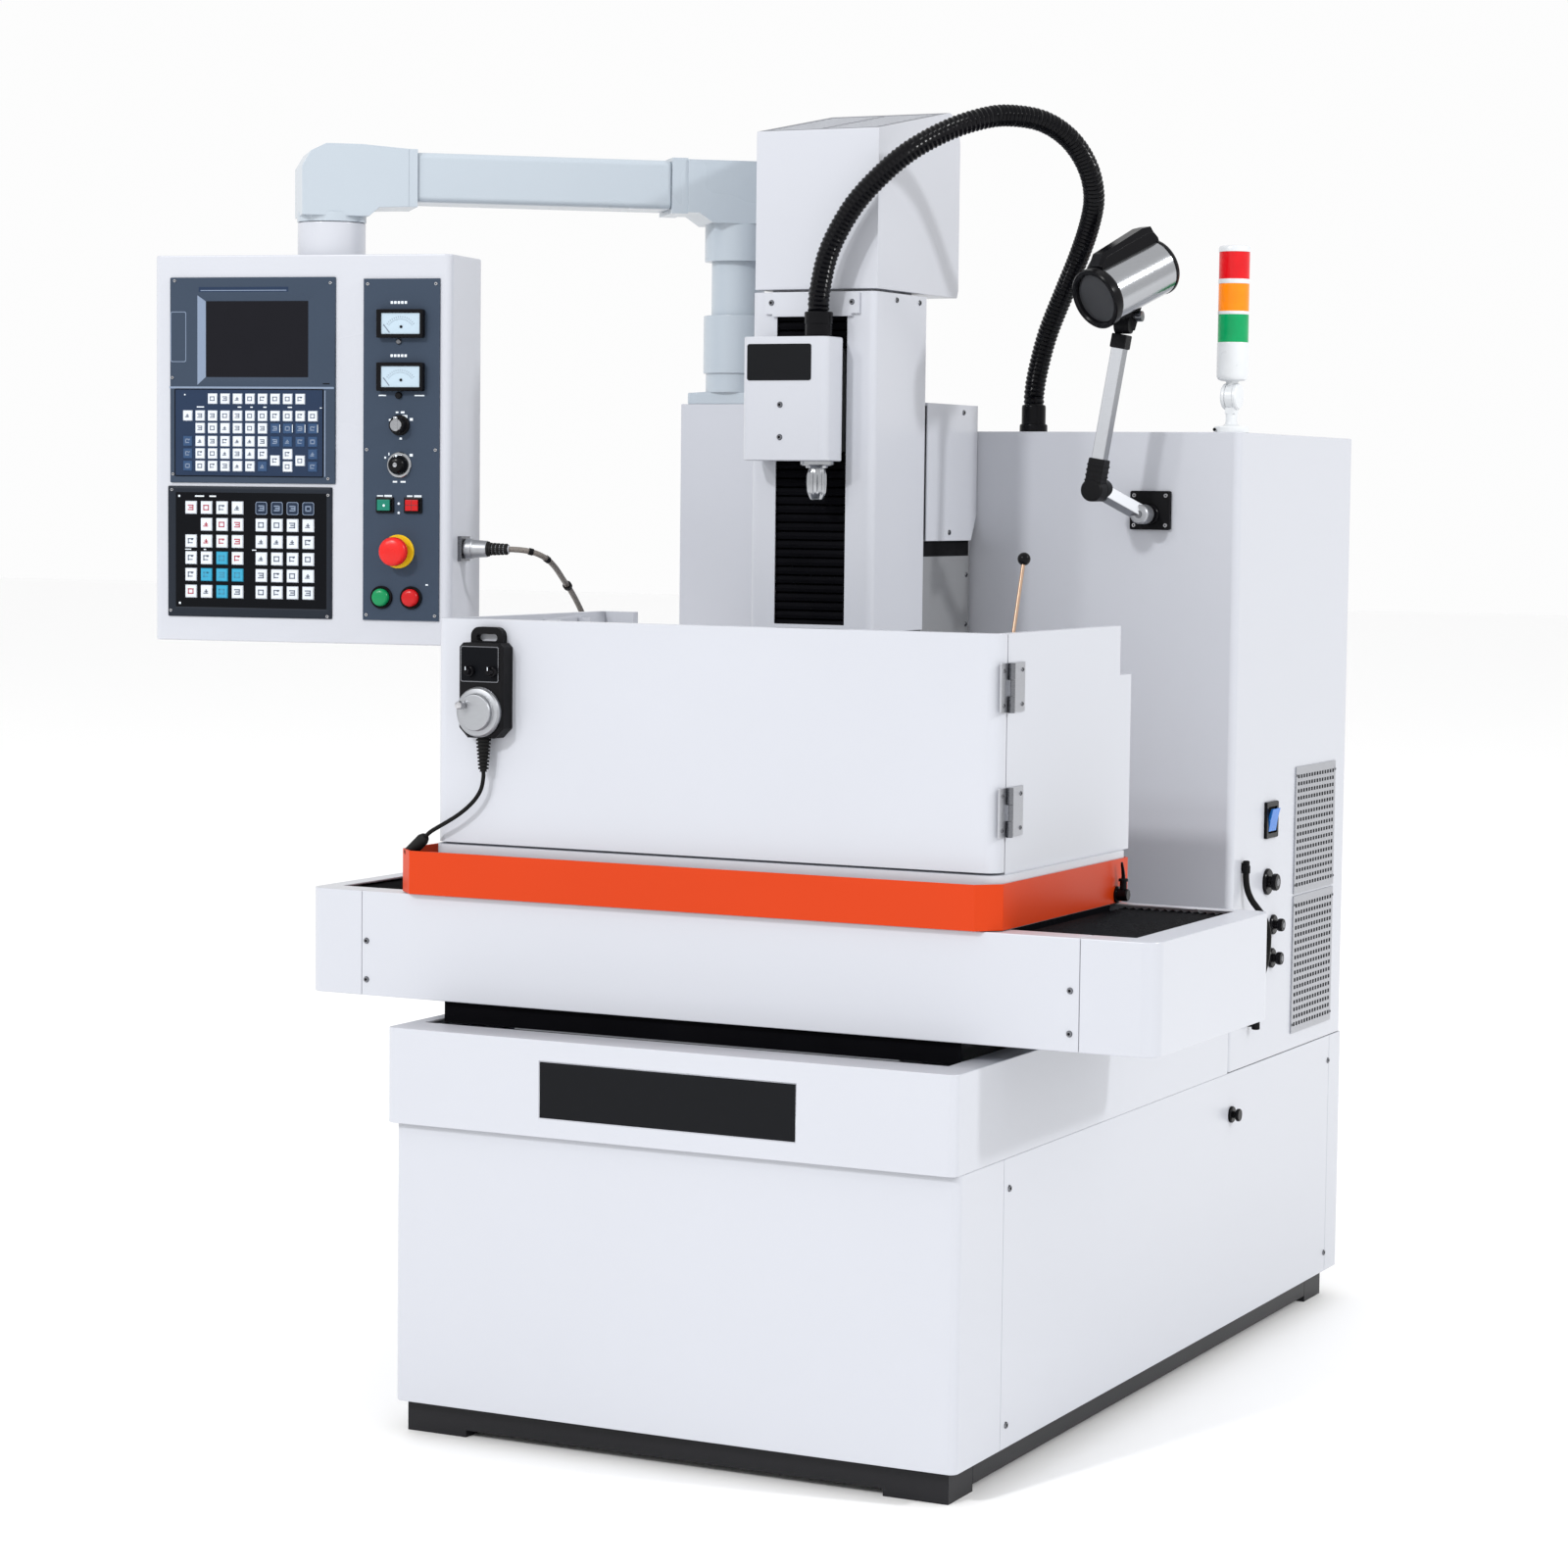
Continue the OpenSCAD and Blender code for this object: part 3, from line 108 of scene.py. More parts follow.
class Finish:
    """The surface of one painted, moulded, woven or metal part."""

    def __init__(self, name, colour, roughness, metallic=0.0, **fixed):
        self.material = bpy.data.materials.new(name)
        self.material.use_nodes = True
        tree = self.material.node_tree
        self.nodes, self.links = tree.nodes, tree.links
        self.shader = self.nodes["Principled BSDF"]
        self.colour, self.roughness = (*colour, 1.0), roughness
        given = {"Base Color": self.colour, "Roughness": roughness, "Metallic": metallic, **fixed}
        for label, value in given.items():
            self.feed(label.replace("_", " "), value)
        self.place = self.node("ShaderNodeTexCoord")[3]

    def node(self, kind, settings=None, inputs=()):
        made = self.nodes.new(kind)
        for name, value in (settings or {}).items():
            setattr(made, name, value)
        for key, value in (inputs.items() if isinstance(inputs, dict) else enumerate(inputs)):
            self.join(made.inputs[key], value)
        return [Value(self, socket) for socket in made.outputs]

    def join(self, socket, value):
        if isinstance(value, Value):
            self.links.new(value.socket, socket)
        else:
            socket.default_value = value

    def feed(self, label, value):
        self.join(self.shader.inputs[label], value)

    def noise(self, scale, detail=2.0, stretch=None):
        where = self.node("ShaderNodeMapping", {}, {0: self.place, 3: stretch})[0] if stretch else self.place
        return self.node("ShaderNodeTexNoise", {}, {0: where, 2: scale, 3: detail})[0]

    def wave(self, direction, scale, distortion=0.0):
        inputs = {0: self.place, 1: scale, 2: distortion}
        return self.node("ShaderNodeTexWave", {"bands_direction": direction}, inputs)[1]

    def mix(self, factor, first, second):
        return self.node("ShaderNodeMix", {"data_type": "RGBA"}, {0: factor, 6: first, 7: second})[2]

    def shade(self, factor):
        return tuple(min(1.0, c * factor) for c in self.colour[:3]) + (1.0,)

    def vary(self, pattern, dark, light):
        """The colour goes from one share of itself to another with a pattern."""
        self.feed("Base Color", self.mix(pattern, self.shade(dark), self.shade(light)))

    def uneven(self, spread, scale):
        """Broad light and dark patches in the colour, with the gloss following them."""
        patches = self.noise(scale, 3.0)
        self.vary(patches, 1 - spread, 1 + spread)
        self.feed("Roughness", patches * (0.5 * self.roughness) + 0.75 * self.roughness)

    def raised(self, height, strength, distance):
        bump = self.node("ShaderNodeBump", {}, {0: strength, 1: distance, "Height": height})[0]
        self.feed("Normal", bump)
        return self


def paint(name, colour, roughness=0.34, spread=0.02, peel=0.12, gloss=0.3):
    """Baked powder paint: faint patches and orange peel under a thin gloss."""
    finish = Finish(name, colour, roughness, Coat_Weight=gloss, Coat_Roughness=0.18,
                    Specular_IOR_Level=gloss + 0.1)
    finish.uneven(spread, 3.0)
    return finish.raised(finish.noise(420, 2.0), peel, 0.0004)


def moulded(name, colour, roughness=0.45, grain=0.25, gloss=0.5, **fixed):
    """Moulded plastic with a fine spark-eroded grain."""
    finish = Finish(name, colour, roughness, Specular_IOR_Level=gloss, **fixed)
    finish.uneven(0.06, 30.0)
    return finish.raised(finish.noise(1500, 3.0), grain, 0.0003)


def brushed(name, colour, stretch, roughness=0.3):
    """Metal with fine parallel scratches along one direction."""
    finish = Finish(name, colour, roughness, 1.0)
    scratches = finish.noise(90, 4.0, stretch)
    finish.vary(scratches, 0.82, 1.12)
    finish.feed("Roughness", scratches * 0.22 + (roughness - 0.1))
    return finish.raised(scratches, 0.12, 0.0003)


def cast(name, colour):
    """Painted casting: a coarse skin with small pits."""
    finish = Finish(name, colour, 0.6)
    finish.uneven(0.18, 9.0)
    return finish.raised(finish.noise(260, 5.0), 0.5, 0.001)


def woven(name, colour):
    """Coated cloth: a fine square weave with a little dust on it."""
    finish = Finish(name, colour, 0.3, Specular_IOR_Level=0.003)
    dust = finish.noise(14, 4.0)
    finish.vary(dust, 0.7, 1.5)
    finish.feed("Roughness", dust * 0.2 + 0.18)
    weave = finish.wave("X", 900) + finish.wave("Y", 900) + finish.wave("Z", 900)
    return finish.raised(weave, 0.06, 0.0003)


def braided(name, colour, scale, light):
    """A cable jacket with crossing strands."""
    finish = Finish(name, colour, 0.4)
    strands = finish.wave("DIAGONAL", scale, 1.5) * finish.wave("Z", scale * 1.3, 1.0)
    finish.feed("Base Color", finish.mix(strands, finish.colour, (*light, 1.0)))
    finish.feed("Roughness", strands * 0.2 + 0.3)
    return finish.raised(strands, 0.4, 0.0004)


def lens(name, colour, glow):
    """A clear coloured lens with upright ribs."""
    finish = Finish(name, colour, 0.16, Specular_IOR_Level=0.3, Emission_Strength=glow)
    finish.feed("Emission Color", finish.colour)
    cloud = finish.noise(60, 2.0)
    finish.vary(cloud, 0.85, 1.1)
    finish.feed("Roughness", cloud * 0.1 + 0.1)
    return finish.raised(finish.wave("X", 240), 0.15, 0.0004)


def film(name, colour, sparkle=0.15):
    """Printed panel film: a satin face with a faint speckle."""
    finish = Finish(name, colour, 0.38, Specular_IOR_Level=0.06)
    speckle = finish.noise(1800, 2.0)
    finish.vary(speckle, 1 - sparkle, 1 + sparkle)
    finish.feed("Roughness", finish.noise(12, 2.0) * 0.15 + 0.3)
    return finish.raised(speckle, 0.08, 0.0002)


WHITE = paint("white_powder_paint", (0.485, 0.50, 0.545))
PANEL_WHITE = paint("panel_white_paint", (0.485, 0.50, 0.545), 0.3)
ARM_GREY = paint("arm_grey_paint", (0.40, 0.45, 0.50), 0.28, 0.03)
COLUMN_GREY = paint("column_grey_paint", (0.20, 0.205, 0.215), 0.42)
# darker grey for the top cover's roof: painted shade of a top that the lights leave dark
COVER_TOP_SHADE = paint("cover_top_painted_shade", (0.13, 0.14, 0.165), 0.42, 0.12, 0.2, 0.05)
ORANGE = paint("tray_orange_paint", (0.52, 0.040, 0.004), 0.4, 0.05, 0.2, 0.03)
BLACK_PAINT = paint("plinth_black_paint", (0.012, 0.012, 0.014), 0.4, 0.15, 0.25, 0.05)
CASTING = cast("grey_casting", (0.20, 0.21, 0.23))
GROUND = brushed("ground_table_steel", (0.55, 0.57, 0.59), (1, 40, 1))
BRIGHT = brushed("bright_sheet_steel", (0.42, 0.43, 0.46), (1, 1, 30), 0.32)
SCREW_STEEL = brushed("screw_steel", (0.50, 0.50, 0.52), (1, 1, 8), 0.28)
STEEL_DARK = brushed("dark_screw_steel", (0.17, 0.175, 0.19), (1, 1, 8), 0.25)
CHROME = brushed("turned_chrome", (0.38, 0.39, 0.41), (1, 1, 60), 0.16)
ALUMINIUM = brushed("anodised_aluminium", (0.36, 0.37, 0.39), (1, 1, 50), 0.42)
GRILLE_STEEL = brushed("perforated_steel", (0.44, 0.45, 0.48), (1, 8, 1), 0.36)
BRASS = brushed("drawn_copper_rod", (0.36, 0.25, 0.18), (20, 20, 1), 0.36)
FOLD_CLOTH = woven("bellows_cloth", (0.004, 0.004, 0.005))
BLACK_PLASTIC = moulded("black_plastic", (0.006, 0.006, 0.007), gloss=0.08)
GLOSS_BLACK = moulded("gloss_black_plastic", (0.004, 0.004, 0.005), 0.22, 0.06, 0.1)
RUBBER = moulded("black_rubber", (0.010, 0.010, 0.010), 0.6, 0.4, 0.12)
HOSE_BLACK = moulded("hose_jacket", (0.002, 0.002, 0.003), 0.2, 0.1, 0.12)
SLATE = film("slate_film", (0.040, 0.056, 0.084))
SLATE_DARK = film("dark_slate_film", (0.018, 0.022, 0.030))
SLATE_PALE = film("pale_slate_film", (0.20, 0.25, 0.34))
DARK_FILM = film("dark_film", (0.003, 0.0035, 0.005))
NAVY = film("navy_film", (0.020, 0.034, 0.068))
PLATE_DARK = film("bare_plate_film", (0.008, 0.0085, 0.010))
KEY_WHITE = moulded("white_keys", (0.60, 0.64, 0.70), 0.35, 0.05)
KEY_BLUE = moulded("blue_keys", (0.03, 0.065, 0.14), 0.35, 0.05, 0.15)
KEY_CYAN = moulded("cyan_keys", (0.035, 0.29, 0.45), 0.35, 0.05, 0.2)
KEY_DEEP = moulded("cyan_key_marks", (0.02, 0.20, 0.32), 0.5, 0.05)
KEY_DARK = moulded("dark_keys", (0.012, 0.022, 0.045), 0.35, 0.05, 0.15)
PALE_PRINT = moulded("pale_print", (0.72, 0.78, 0.84), 0.5, 0.03)
KEY_MARK = moulded("key_marks", (0.10, 0.12, 0.16), 0.5, 0.05)
KEY_RED = moulded("red_marks", (0.36, 0.05, 0.07), 0.5, 0.05)
GREEN = moulded("green_button", (0.004, 0.22, 0.075), 0.25, 0.04, 0.25)
GREEN_PALE = moulded("green_lens_cap", (0.008, 0.17, 0.115), 0.25, 0.04, 0.25)
DARK_RED = moulded("dark_red_bars", (0.16, 0.006, 0.008), 0.3, 0.04)
RED = moulded("red_button", (0.46, 0.006, 0.008), 0.25, 0.04, 0.25)
STOP_RED = moulded("stop_red", (0.62, 0.014, 0.012), 0.28, 0.05, 0.25)
YELLOW = moulded("collar_yellow", (0.72, 0.46, 0.01), 0.35, 0.08, 0.2)
BLUE = moulded("rocker_blue", (0.015, 0.15, 0.52), 0.2, 0.04, 0.25)
IVORY = moulded("ivory_plastic", (0.62, 0.64, 0.66), 0.3, 0.05, Coat_Weight=0.2, Coat_Roughness=0.1)
METER_FACE = film("meter_face", (0.42, 0.52, 0.60), 0.06)
SCREEN = moulded("screen_glass", (0.008, 0.008, 0.011), 0.14, 0.02, 0.1)
LAMP_GLASS = moulded("lamp_glass", (0.030, 0.031, 0.034), 0.12, 0.03, 0.3)
LENS_GREEN = lens("green_lens", (0.0, 0.28, 0.09), 0.08)
LENS_ORANGE = lens("orange_lens", (0.86, 0.22, 0.003), 0.1)
LENS_RED = lens("red_lens", (0.58, 0.005, 0.009), 0.08)
SHEATH = braided("metal_braid", (0.075, 0.062, 0.055), 1400, (0.42, 0.38, 0.34))
CABLE_BLACK = moulded("cable_jacket", (0.005, 0.005, 0.005), 0.4, 0.3, 0.1)
# near-black for holes, slots, sockets and gaps: painted shade where their insides would be dark
GAP_SHADE = moulded("painted_gap_shade", (0.004, 0.004, 0.005), 0.9, 0.1, 0.1)

BY_SLOT = {
    "white_paint": WHITE, "grey_paint": ARM_GREY, "column_paint": COLUMN_GREY, "orange_paint": ORANGE,
    "black_paint": BLACK_PAINT, "casting": CASTING, "ground_steel": GROUND, "bright_steel": BRIGHT,
    "chuck_chrome": CHROME, "fold_cloth": FOLD_CLOTH, "black_plastic": BLACK_PLASTIC, "slate_panel": SLATE,
    "key_cap": KEY_WHITE, "button_green": GREEN, "button_red": RED, "stop_red": STOP_RED,
    "rocker_blue": BLUE, "wheel_grey": ALUMINIUM, "rod_brass": BRASS, "lamp_silver": ALUMINIUM,
    "lens_plastic": IVORY, "brown_sheath": SHEATH,
}
SLOT_OF = {part["node"]: part["material_slot"] for part in RECORD["subparts"]}
BODY_OF = {node: body for body, nodes in RECORD["behaviour"]["bodies"].items() for node in nodes}
for node_name, solid in NODES.items():
    for holder in solid.material_slots:
        holder.material = BY_SLOT[SLOT_OF[node_name]].material


# ---- shapes ----

SHARP_EDGE, FOLD_EDGE, FLAT_EDGE = 0.6, 0.5, 0.02
SAME_POINT = 2e-5
ROOF_LEVEL = 1.87


class Shape:
    """A piece under construction, in millimetres in its own frame; each part has its own finish."""

    def __init__(self, name, finish, place=None):
        self.name, self.bm, self.finishes = name, bmesh.new(), [finish]
        self.place = place or Matrix()

    def add(self, part, finish=None, soft=0.0, steps=2):
        """Takes in another mesh, with its sharp edges softened."""
        if soft:
            sharp = [e for e in part.edges if len(e.link_faces) == 2 and e.calc_face_angle(0) > SHARP_EDGE]
            bmesh.ops.bevel(part, geom=sharp, offset=soft, segments=steps, affect="EDGES", profile=0.6,
                            clamp_overlap=True)
        finish = finish or self.finishes[0]
        if finish not in self.finishes:
            self.finishes.append(finish)
        for face in part.faces:
            face.material_index = self.finishes.index(finish)
        made = bpy.data.meshes.new("part")
        part.to_mesh(made)
        part.free()
        self.bm.from_mesh(made)
        bpy.data.meshes.remove(made)

    def block(self, turn, size, finish=None, soft=0.0, steps=2):
        part = bmesh.new()
        bmesh.ops.create_cube(part, size=1, matrix=turn @ Matrix.Diagonal((*size, 1)))
        self.add(part, finish, soft, steps)

    def box(self, low, high, finish=None, soft=0.0):
        middle = [(a + b) / 2 for a, b in zip(low, high)]
        self.block(Matrix.Translation(middle), [b - a for a, b in zip(low, high)], finish, soft)

    def strut(self, start, end, width, near, far, finish=None, soft=1.6):
        """A square bar between two distances along a line."""
        start, ahead = Vector(start), (Vector(end) - Vector(start)).normalized()
        side = (Vector(SIDEWAYS) - ahead * ahead.x).normalized()
        turn = Matrix((side, ahead.cross(side), ahead)).transposed().to_4x4()
        middle = Matrix.Translation(start + ahead * (near + far) / 2)
        self.block(middle @ turn, (width, width, far - near), finish, soft, 3)

    def bar(self, start, end, r, finish=None, sides=32, soft=0.0):
        start, end = Vector(start), Vector(end)
        turn = (end - start).to_track_quat("Z", "Y").to_matrix().to_4x4()
        part = bmesh.new()
        bmesh.ops.create_cone(part, cap_ends=True, segments=sides, radius1=r, radius2=r,
                              depth=(end - start).length, matrix=Matrix.Translation((start + end) / 2) @ turn)
        self.add(part, finish, soft)

    def skin(self, rings, finish, soft=0.0, looped=False):
        """Joins each ring of points to the next, and caps both ends or joins the last to the first."""
        part = bmesh.new()
        rings = [[part.verts.new(p) for p in ring] for ring in rings]
        for low, high in zip(rings, rings[1:] + rings[:looped]):
            for k in range(max(len(low), len(high))):
                corners = [row[j % len(row)] for row, j in ((low, k), (low, k + 1), (high, k + 1), (high, k))]
                part.faces.new(list(dict.fromkeys(corners)))
        for cap in () if looped else (rings[0], rings[-1][::-1]):
            if len(cap) > 1:
                part.faces.new(cap)
        bmesh.ops.recalc_face_normals(part, faces=part.faces)
        self.add(part, finish, soft)

    def lathe(self, origin, ahead, profile, finish=None, sides=40):
        """Turns (radius, height) pairs about a line; an end that is off the line gets a flat cap."""
        turn = Matrix.Translation(origin) @ Vector(ahead).to_track_quat("Z", "Y").to_matrix().to_4x4()
        first, last = profile[0], profile[-1]
        profile = [(0, first[1])] * bool(first[0]) + profile + [(0, last[1])] * bool(last[0])
        turns = [2 * math.pi * k / sides for k in range(sides)]
        self.skin([[turn @ Vector((r * math.cos(a), r * math.sin(a), h)) for a in (turns if r else [0])]
                   for r, h in profile], finish)

    def loft(self, sections, plane="xz", finish=None, soft=0.0, ring=False):
        """Joins flat outlines, each at its own level across the plane, into a solid or into a ring."""
        order = {"xz": (0, 2, 1), "yz": (2, 0, 1), "xy": (0, 1, 2)}[plane]
        self.skin([[[(a, b, level)[k] for k in order] for a, b in outline] for outline, level in sections],
                  finish, soft, ring)

    def tube(self, points, r, finish=None, sides=12):
        """A round rod along a line, with one radius or one for each point."""
        points, side, rings = [Vector(p) for p in points], None, []
        radii = r if isinstance(r, list) else [r] * len(points)
        for i, (p, radius) in enumerate(zip(points, radii)):
            ahead = (points[min(i + 1, len(points) - 1)] - points[max(i - 1, 0)]).normalized()
            side = ahead.orthogonal() if side is None else side - ahead * side.dot(ahead)
            side.normalize()
            across = ahead.cross(side)
            rings.append([p + radius * (math.cos(a) * side + math.sin(a) * across)
                          for a in (2 * math.pi * k / sides for k in range(sides))])
        self.skin(rings, finish)

    def done(self, smooth=0.6):
        """The finished object: in metres, at the origin, with its place in its mesh."""
        mesh = bpy.data.meshes.new(self.name)
        self.bm.transform(Matrix.Scale(0.001, 4) @ self.place)
        self.bm.to_mesh(mesh)
        self.bm.free()
        for finish in self.finishes:
            mesh.materials.append(finish.material)
        return finished(self.name, mesh, smooth)


def finished(name, mesh, smooth):
    """A smooth-shaded object whose large flat faces keep their own normals."""
    for face in mesh.polygons:
        face.use_smooth = True
    mesh.set_sharp_from_angle(angle=smooth)
    piece = link(name, mesh)
    piece.modifiers.new("normals", "WEIGHTED_NORMAL").keep_sharp = True
    piece.data = evaluated_mesh(piece, True)
    piece.modifiers.clear()
    bpy.data.meshes.remove(mesh)
    piece.data.name = name
    return piece


def evaluated_mesh(thing, keep_layers):
    graph = bpy.context.evaluated_depsgraph_get()
    shown = thing.evaluated_get(graph)
    return bpy.data.meshes.new_from_object(shown, preserve_all_data_layers=keep_layers, depsgraph=graph)


def dress(piece, body, slot, *nodes):
    if body:
        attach(piece, body)
    if nodes:
        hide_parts(*nodes)


def cover(shape, node, smooth=0.6):
    """The piece takes the place of a solid, on its body."""
    dress(shape.done(smooth), BODY_OF[node], SLOT_OF[node], node)


def fit(shape, node, slot, smooth=0.6):
    """The piece is added to a solid that stays."""
    dress(shape.done(smooth), BODY_OF[node], slot)


def soften(node, width=1.2, finish=None, steps=2, roof_shade=None):
    """A cover or casting with rounded outer edges, in place of its solid; its top faces may get a darker grey
    as painted shade.
    """
    shape = bmesh.new()
    shape.from_mesh(NODES[node].data)
    bmesh.ops.remove_doubles(shape, verts=shape.verts, dist=SAME_POINT)
    bmesh.ops.dissolve_limit(shape, angle_limit=FLAT_EDGE, verts=shape.verts, edges=shape.edges)
    folds = [e for e in shape.edges if len(e.link_faces) == 2 and e.is_convex
             and e.calc_face_angle(0) > FOLD_EDGE]
    bmesh.ops.bevel(shape, geom=folds, offset=width / 1000, segments=steps, affect="EDGES", profile=0.5,
                    clamp_overlap=True)
    bmesh.ops.triangulate(shape, faces=[f for f in shape.faces if len(f.verts) > 4])
    mesh = bpy.data.meshes.new(node + "_cover")
    shape.to_mesh(mesh)
    shape.free()
    mesh.materials.append((finish or BY_SLOT[SLOT_OF[node]]).material)
    # upward faces above the roof level get the darker grey: painted shade on the top
    if roof_shade:
        mesh.materials.append(roof_shade.material)
        for face in mesh.polygons:
            face.material_index = int(face.normal.z > 0.95 and face.center.z > ROOF_LEVEL)
    dress(finished(node + "_cover", mesh, 0.45), BODY_OF[node], SLOT_OF[node], node)


def box_of(node):
    """The two corners of a solid's box, in millimetres."""
    return [[v * 1000 for v in corner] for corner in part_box(node)]


def rounded(x, z, r, steps=5):
    """A rectangle with round corners."""
    corners = ((x[1] - r, z[1] - r, 0), (x[0] + r, z[1] - r, 90), (x[0] + r, z[0] + r, 180),
               (x[1] - r, z[0] + r, 270))
    return [(cx + r * math.cos(a), cz + r * math.sin(a)) for cx, cz, turn in corners
            for a in (math.radians(turn + 90 * k / steps) for k in range(steps + 1))]


def outlines(x, z, *sections, steps=5):
    """Rounded rectangles for a loft: how far each is drawn in, its corner radius and its level."""
    return [(rounded((x[0] + d, x[1] - d), (z[0] + d, z[1] - d), r, steps), level)
            for d, r, level in sections]


def smooth_route(points, spacing):
    """Points about a spacing apart on a smooth curve through the given ones."""
    points, line = [Vector(p) for p in points], []
    for i in range(len(points) - 1):
        before, a, b, after = (points[min(max(k, 0), len(points) - 1)] for k in range(i - 1, i + 3))
        count = max(1, round((b - a).length / spacing))
        for t in (k / count for k in range(count)):
            line.append(0.5 * (2 * a + (b - before) * t + (2 * before - 5 * a + 4 * b - after) * t * t
                               + (3 * a - before - 3 * b + after) * t ** 3))
    return line + [points[-1]]


# ---- repeated parts, made by Geometry Nodes ----

class Tree:
    """A Geometry Nodes tree with named inputs; it takes points or a line and gives a mesh."""

    def __init__(self, name, **inputs):
        self.tree = bpy.data.node_groups.new(name, "GeometryNodeTree")
        face = self.tree.interface
        face.new_socket("Geometry", in_out="INPUT", socket_type="NodeSocketGeometry")
        face.new_socket("Geometry", in_out="OUTPUT", socket_type="NodeSocketGeometry")
        self.keys = {label: face.new_socket(label, in_out="INPUT", socket_type="NodeSocket" + kind).identifier
                     for label, kind in inputs.items()}
        entry = self.tree.nodes.new("NodeGroupInput")
        self.start, self.given = entry.outputs[0], dict(zip(inputs, entry.outputs[1:]))

    def node(self, kind, settings=None, *numbered, output=0, **named):
        """A new node's output; its inputs are given in their order or by name."""
        made = self.tree.nodes.new(kind if "Node" in kind else "GeometryNode" + kind)
        for name, value in (settings or {}).items():
            setattr(made, name, value)
        named = {label.replace("_", " "): value for label, value in named.items()}
        for key, value in {**dict(enumerate(numbered)), **named}.items():
            if isinstance(value, bpy.types.NodeSocket):
                self.tree.links.new(value, made.inputs[key])
            elif value is not None:
                made.inputs[key].default_value = value
        return made.outputs[output]

    def number(self, operation, first, second=0.0):
        return self.node("ShaderNodeMath", {"operation": operation}, first, second)

    def vector(self, x, y, z):
        return self.node("ShaderNodeCombineXYZ", None, x, y, z)

    def painted(self, geometry, finish):
        return self.node("SetMaterial", Geometry=geometry, Material=finish)

    def moved(self, geometry, **how):
        return self.node("Transform", Geometry=geometry, **how)

    def on_points(self, instance, points=None, **how):
        return self.node("InstanceOnPoints", Points=points or self.start, Instance=instance, **how)

    def facing(self, axis, direction):
        return self.node("FunctionNodeAlignRotationToVector", {"axis": axis}, Vector=direction)

    def join(self, *parts):
        made = self.tree.nodes.new("GeometryNodeJoinGeometry")
        for part in parts:
            self.tree.links.new(part, made.inputs[0])
        return made.outputs[0]

    def end(self, geometry, finish=None):
        """Every tree ends in real geometry with its material."""
        real = self.node("RealizeInstances", Geometry=geometry)
        real = self.painted(real, finish) if finish else real
        self.tree.links.new(real, self.tree.nodes.new("NodeGroupOutput").inputs[0])
        return self

    def grow(self, shape, points, joined=False, **values):
        """Runs the tree on points, or on the line through them, and puts the result into a shape."""
        source = bpy.data.meshes.new("points")
        lines = [(i, i + 1) for i in range(len(points) - 1)] if joined else []
        source.from_pydata([tuple(p) for p in points], lines, [])
        holder = link("source", source)
        modifier = holder.modifiers.new("grow", "NODES")
        modifier.node_group = self.tree
        for label, value in values.items():
            modifier[self.keys[label]] = value.material if isinstance(value, Finish) else value
        made = evaluated_mesh(holder, False)
        shown = {f.material.name: f for f in values.values() if isinstance(f, Finish)}
        shape.finishes += [f for f in shown.values() if f not in shape.finishes]
        order = [shape.finishes.index(shown[m.name]) if m and m.name in shown else 0 for m in made.materials]
        for face in made.polygons:
            face.material_index = order[face.material_index] if order else 0
        shape.bm.from_mesh(made)
        bpy.data.objects.remove(holder)
        bpy.data.meshes.remove(source)
        bpy.data.meshes.remove(made)


def screw_tree():
    """A round head with a hexagonal socket on every point, facing one way."""
    tree = Tree("screw heads", HeadRadius="Float", HeadHeight="Float", Facing="Vector", Metal="Material",
                Socket="Material")
    g = tree.given
    r, h = g["HeadRadius"], g["HeadHeight"]
    top, hexagon = tree.number("MULTIPLY", r, 0.8), tree.number("MULTIPLY", r, 0.46)
    head = tree.node("MeshCone", Vertices=20, Radius_Top=top, Radius_Bottom=r, Depth=h)
    socket = tree.node("MeshCylinder", Vertices=6, Radius=hexagon, Depth=0.3)
    socket = tree.moved(tree.painted(socket, g["Socket"]), Translation=tree.vector(0.0, 0.0, h))
    both = tree.join(tree.painted(head, g["Metal"]), socket)
    return tree.end(tree.on_points(both, Rotation=tree.facing("Z", g["Facing"])))


def key_tree():
    """A tapered key cap on every point, with one of four printed signs picked at random on its face."""
    tree = Tree("keys", Width="Float", Height="Float", Rise="Float", Seed="Int", Body="Material",
                Print="Material")
    g = tree.given
    cap = tree.node("MeshCone", Vertices=4, Radius_Top=0.63, Radius_Bottom=0.7071, Depth=1.0)
    cap = tree.painted(tree.moved(cap, Rotation=(0.0, 0.0, math.pi / 4)), g["Body"])
    size = tree.vector(g["Width"], g["Height"], g["Rise"])
    cap = tree.moved(cap, Rotation=(math.pi / 2, 0.0, 0.0), Scale=size)
    bars = (((0.5, 0.09), (0.0, 0.17)), ((0.5, 0.09), (0.0, -0.17)), ((0.09, 0.42), (-0.2, 0.0)),
            ((0.09, 0.42), (0.2, 0.0)), ((0.3, 0.1), (0.0, 0.0)), ((0.1, 0.3), (0.0, 0.02)),
            ((0.42, 0.08), (-0.04, -0.14)), ((0.16, 0.16), (0.12, 0.14)))
    signs = []
    for picked in ((0, 1, 2, 3), (0, 1, 4, 3), (4, 5, 6), (0, 2, 6, 7)):
        blocks = [tree.moved(tree.node("MeshCube", Size=(w, 0.16, h)), Translation=(x, -1.0, z))
                  for (w, h), (x, z) in (bars[index] for index in picked)]
        sign = tree.painted(tree.join(*blocks), g["Print"])
        sign = tree.moved(sign, Scale=tree.vector(g["Width"], g["Rise"], g["Height"]))
        signs.append(tree.node("GeometryToInstance", None, sign))
    pick = tree.node("FunctionNodeRandomValue", {"data_type": "INT"}, None, None, None, None, 0,
                     len(signs) - 1, output=2, Seed=g["Seed"])
    marks = tree.on_points(tree.join(*signs), Pick_Instance=True, Instance_Index=pick)
    return tree.end(tree.join(tree.on_points(cap), marks))


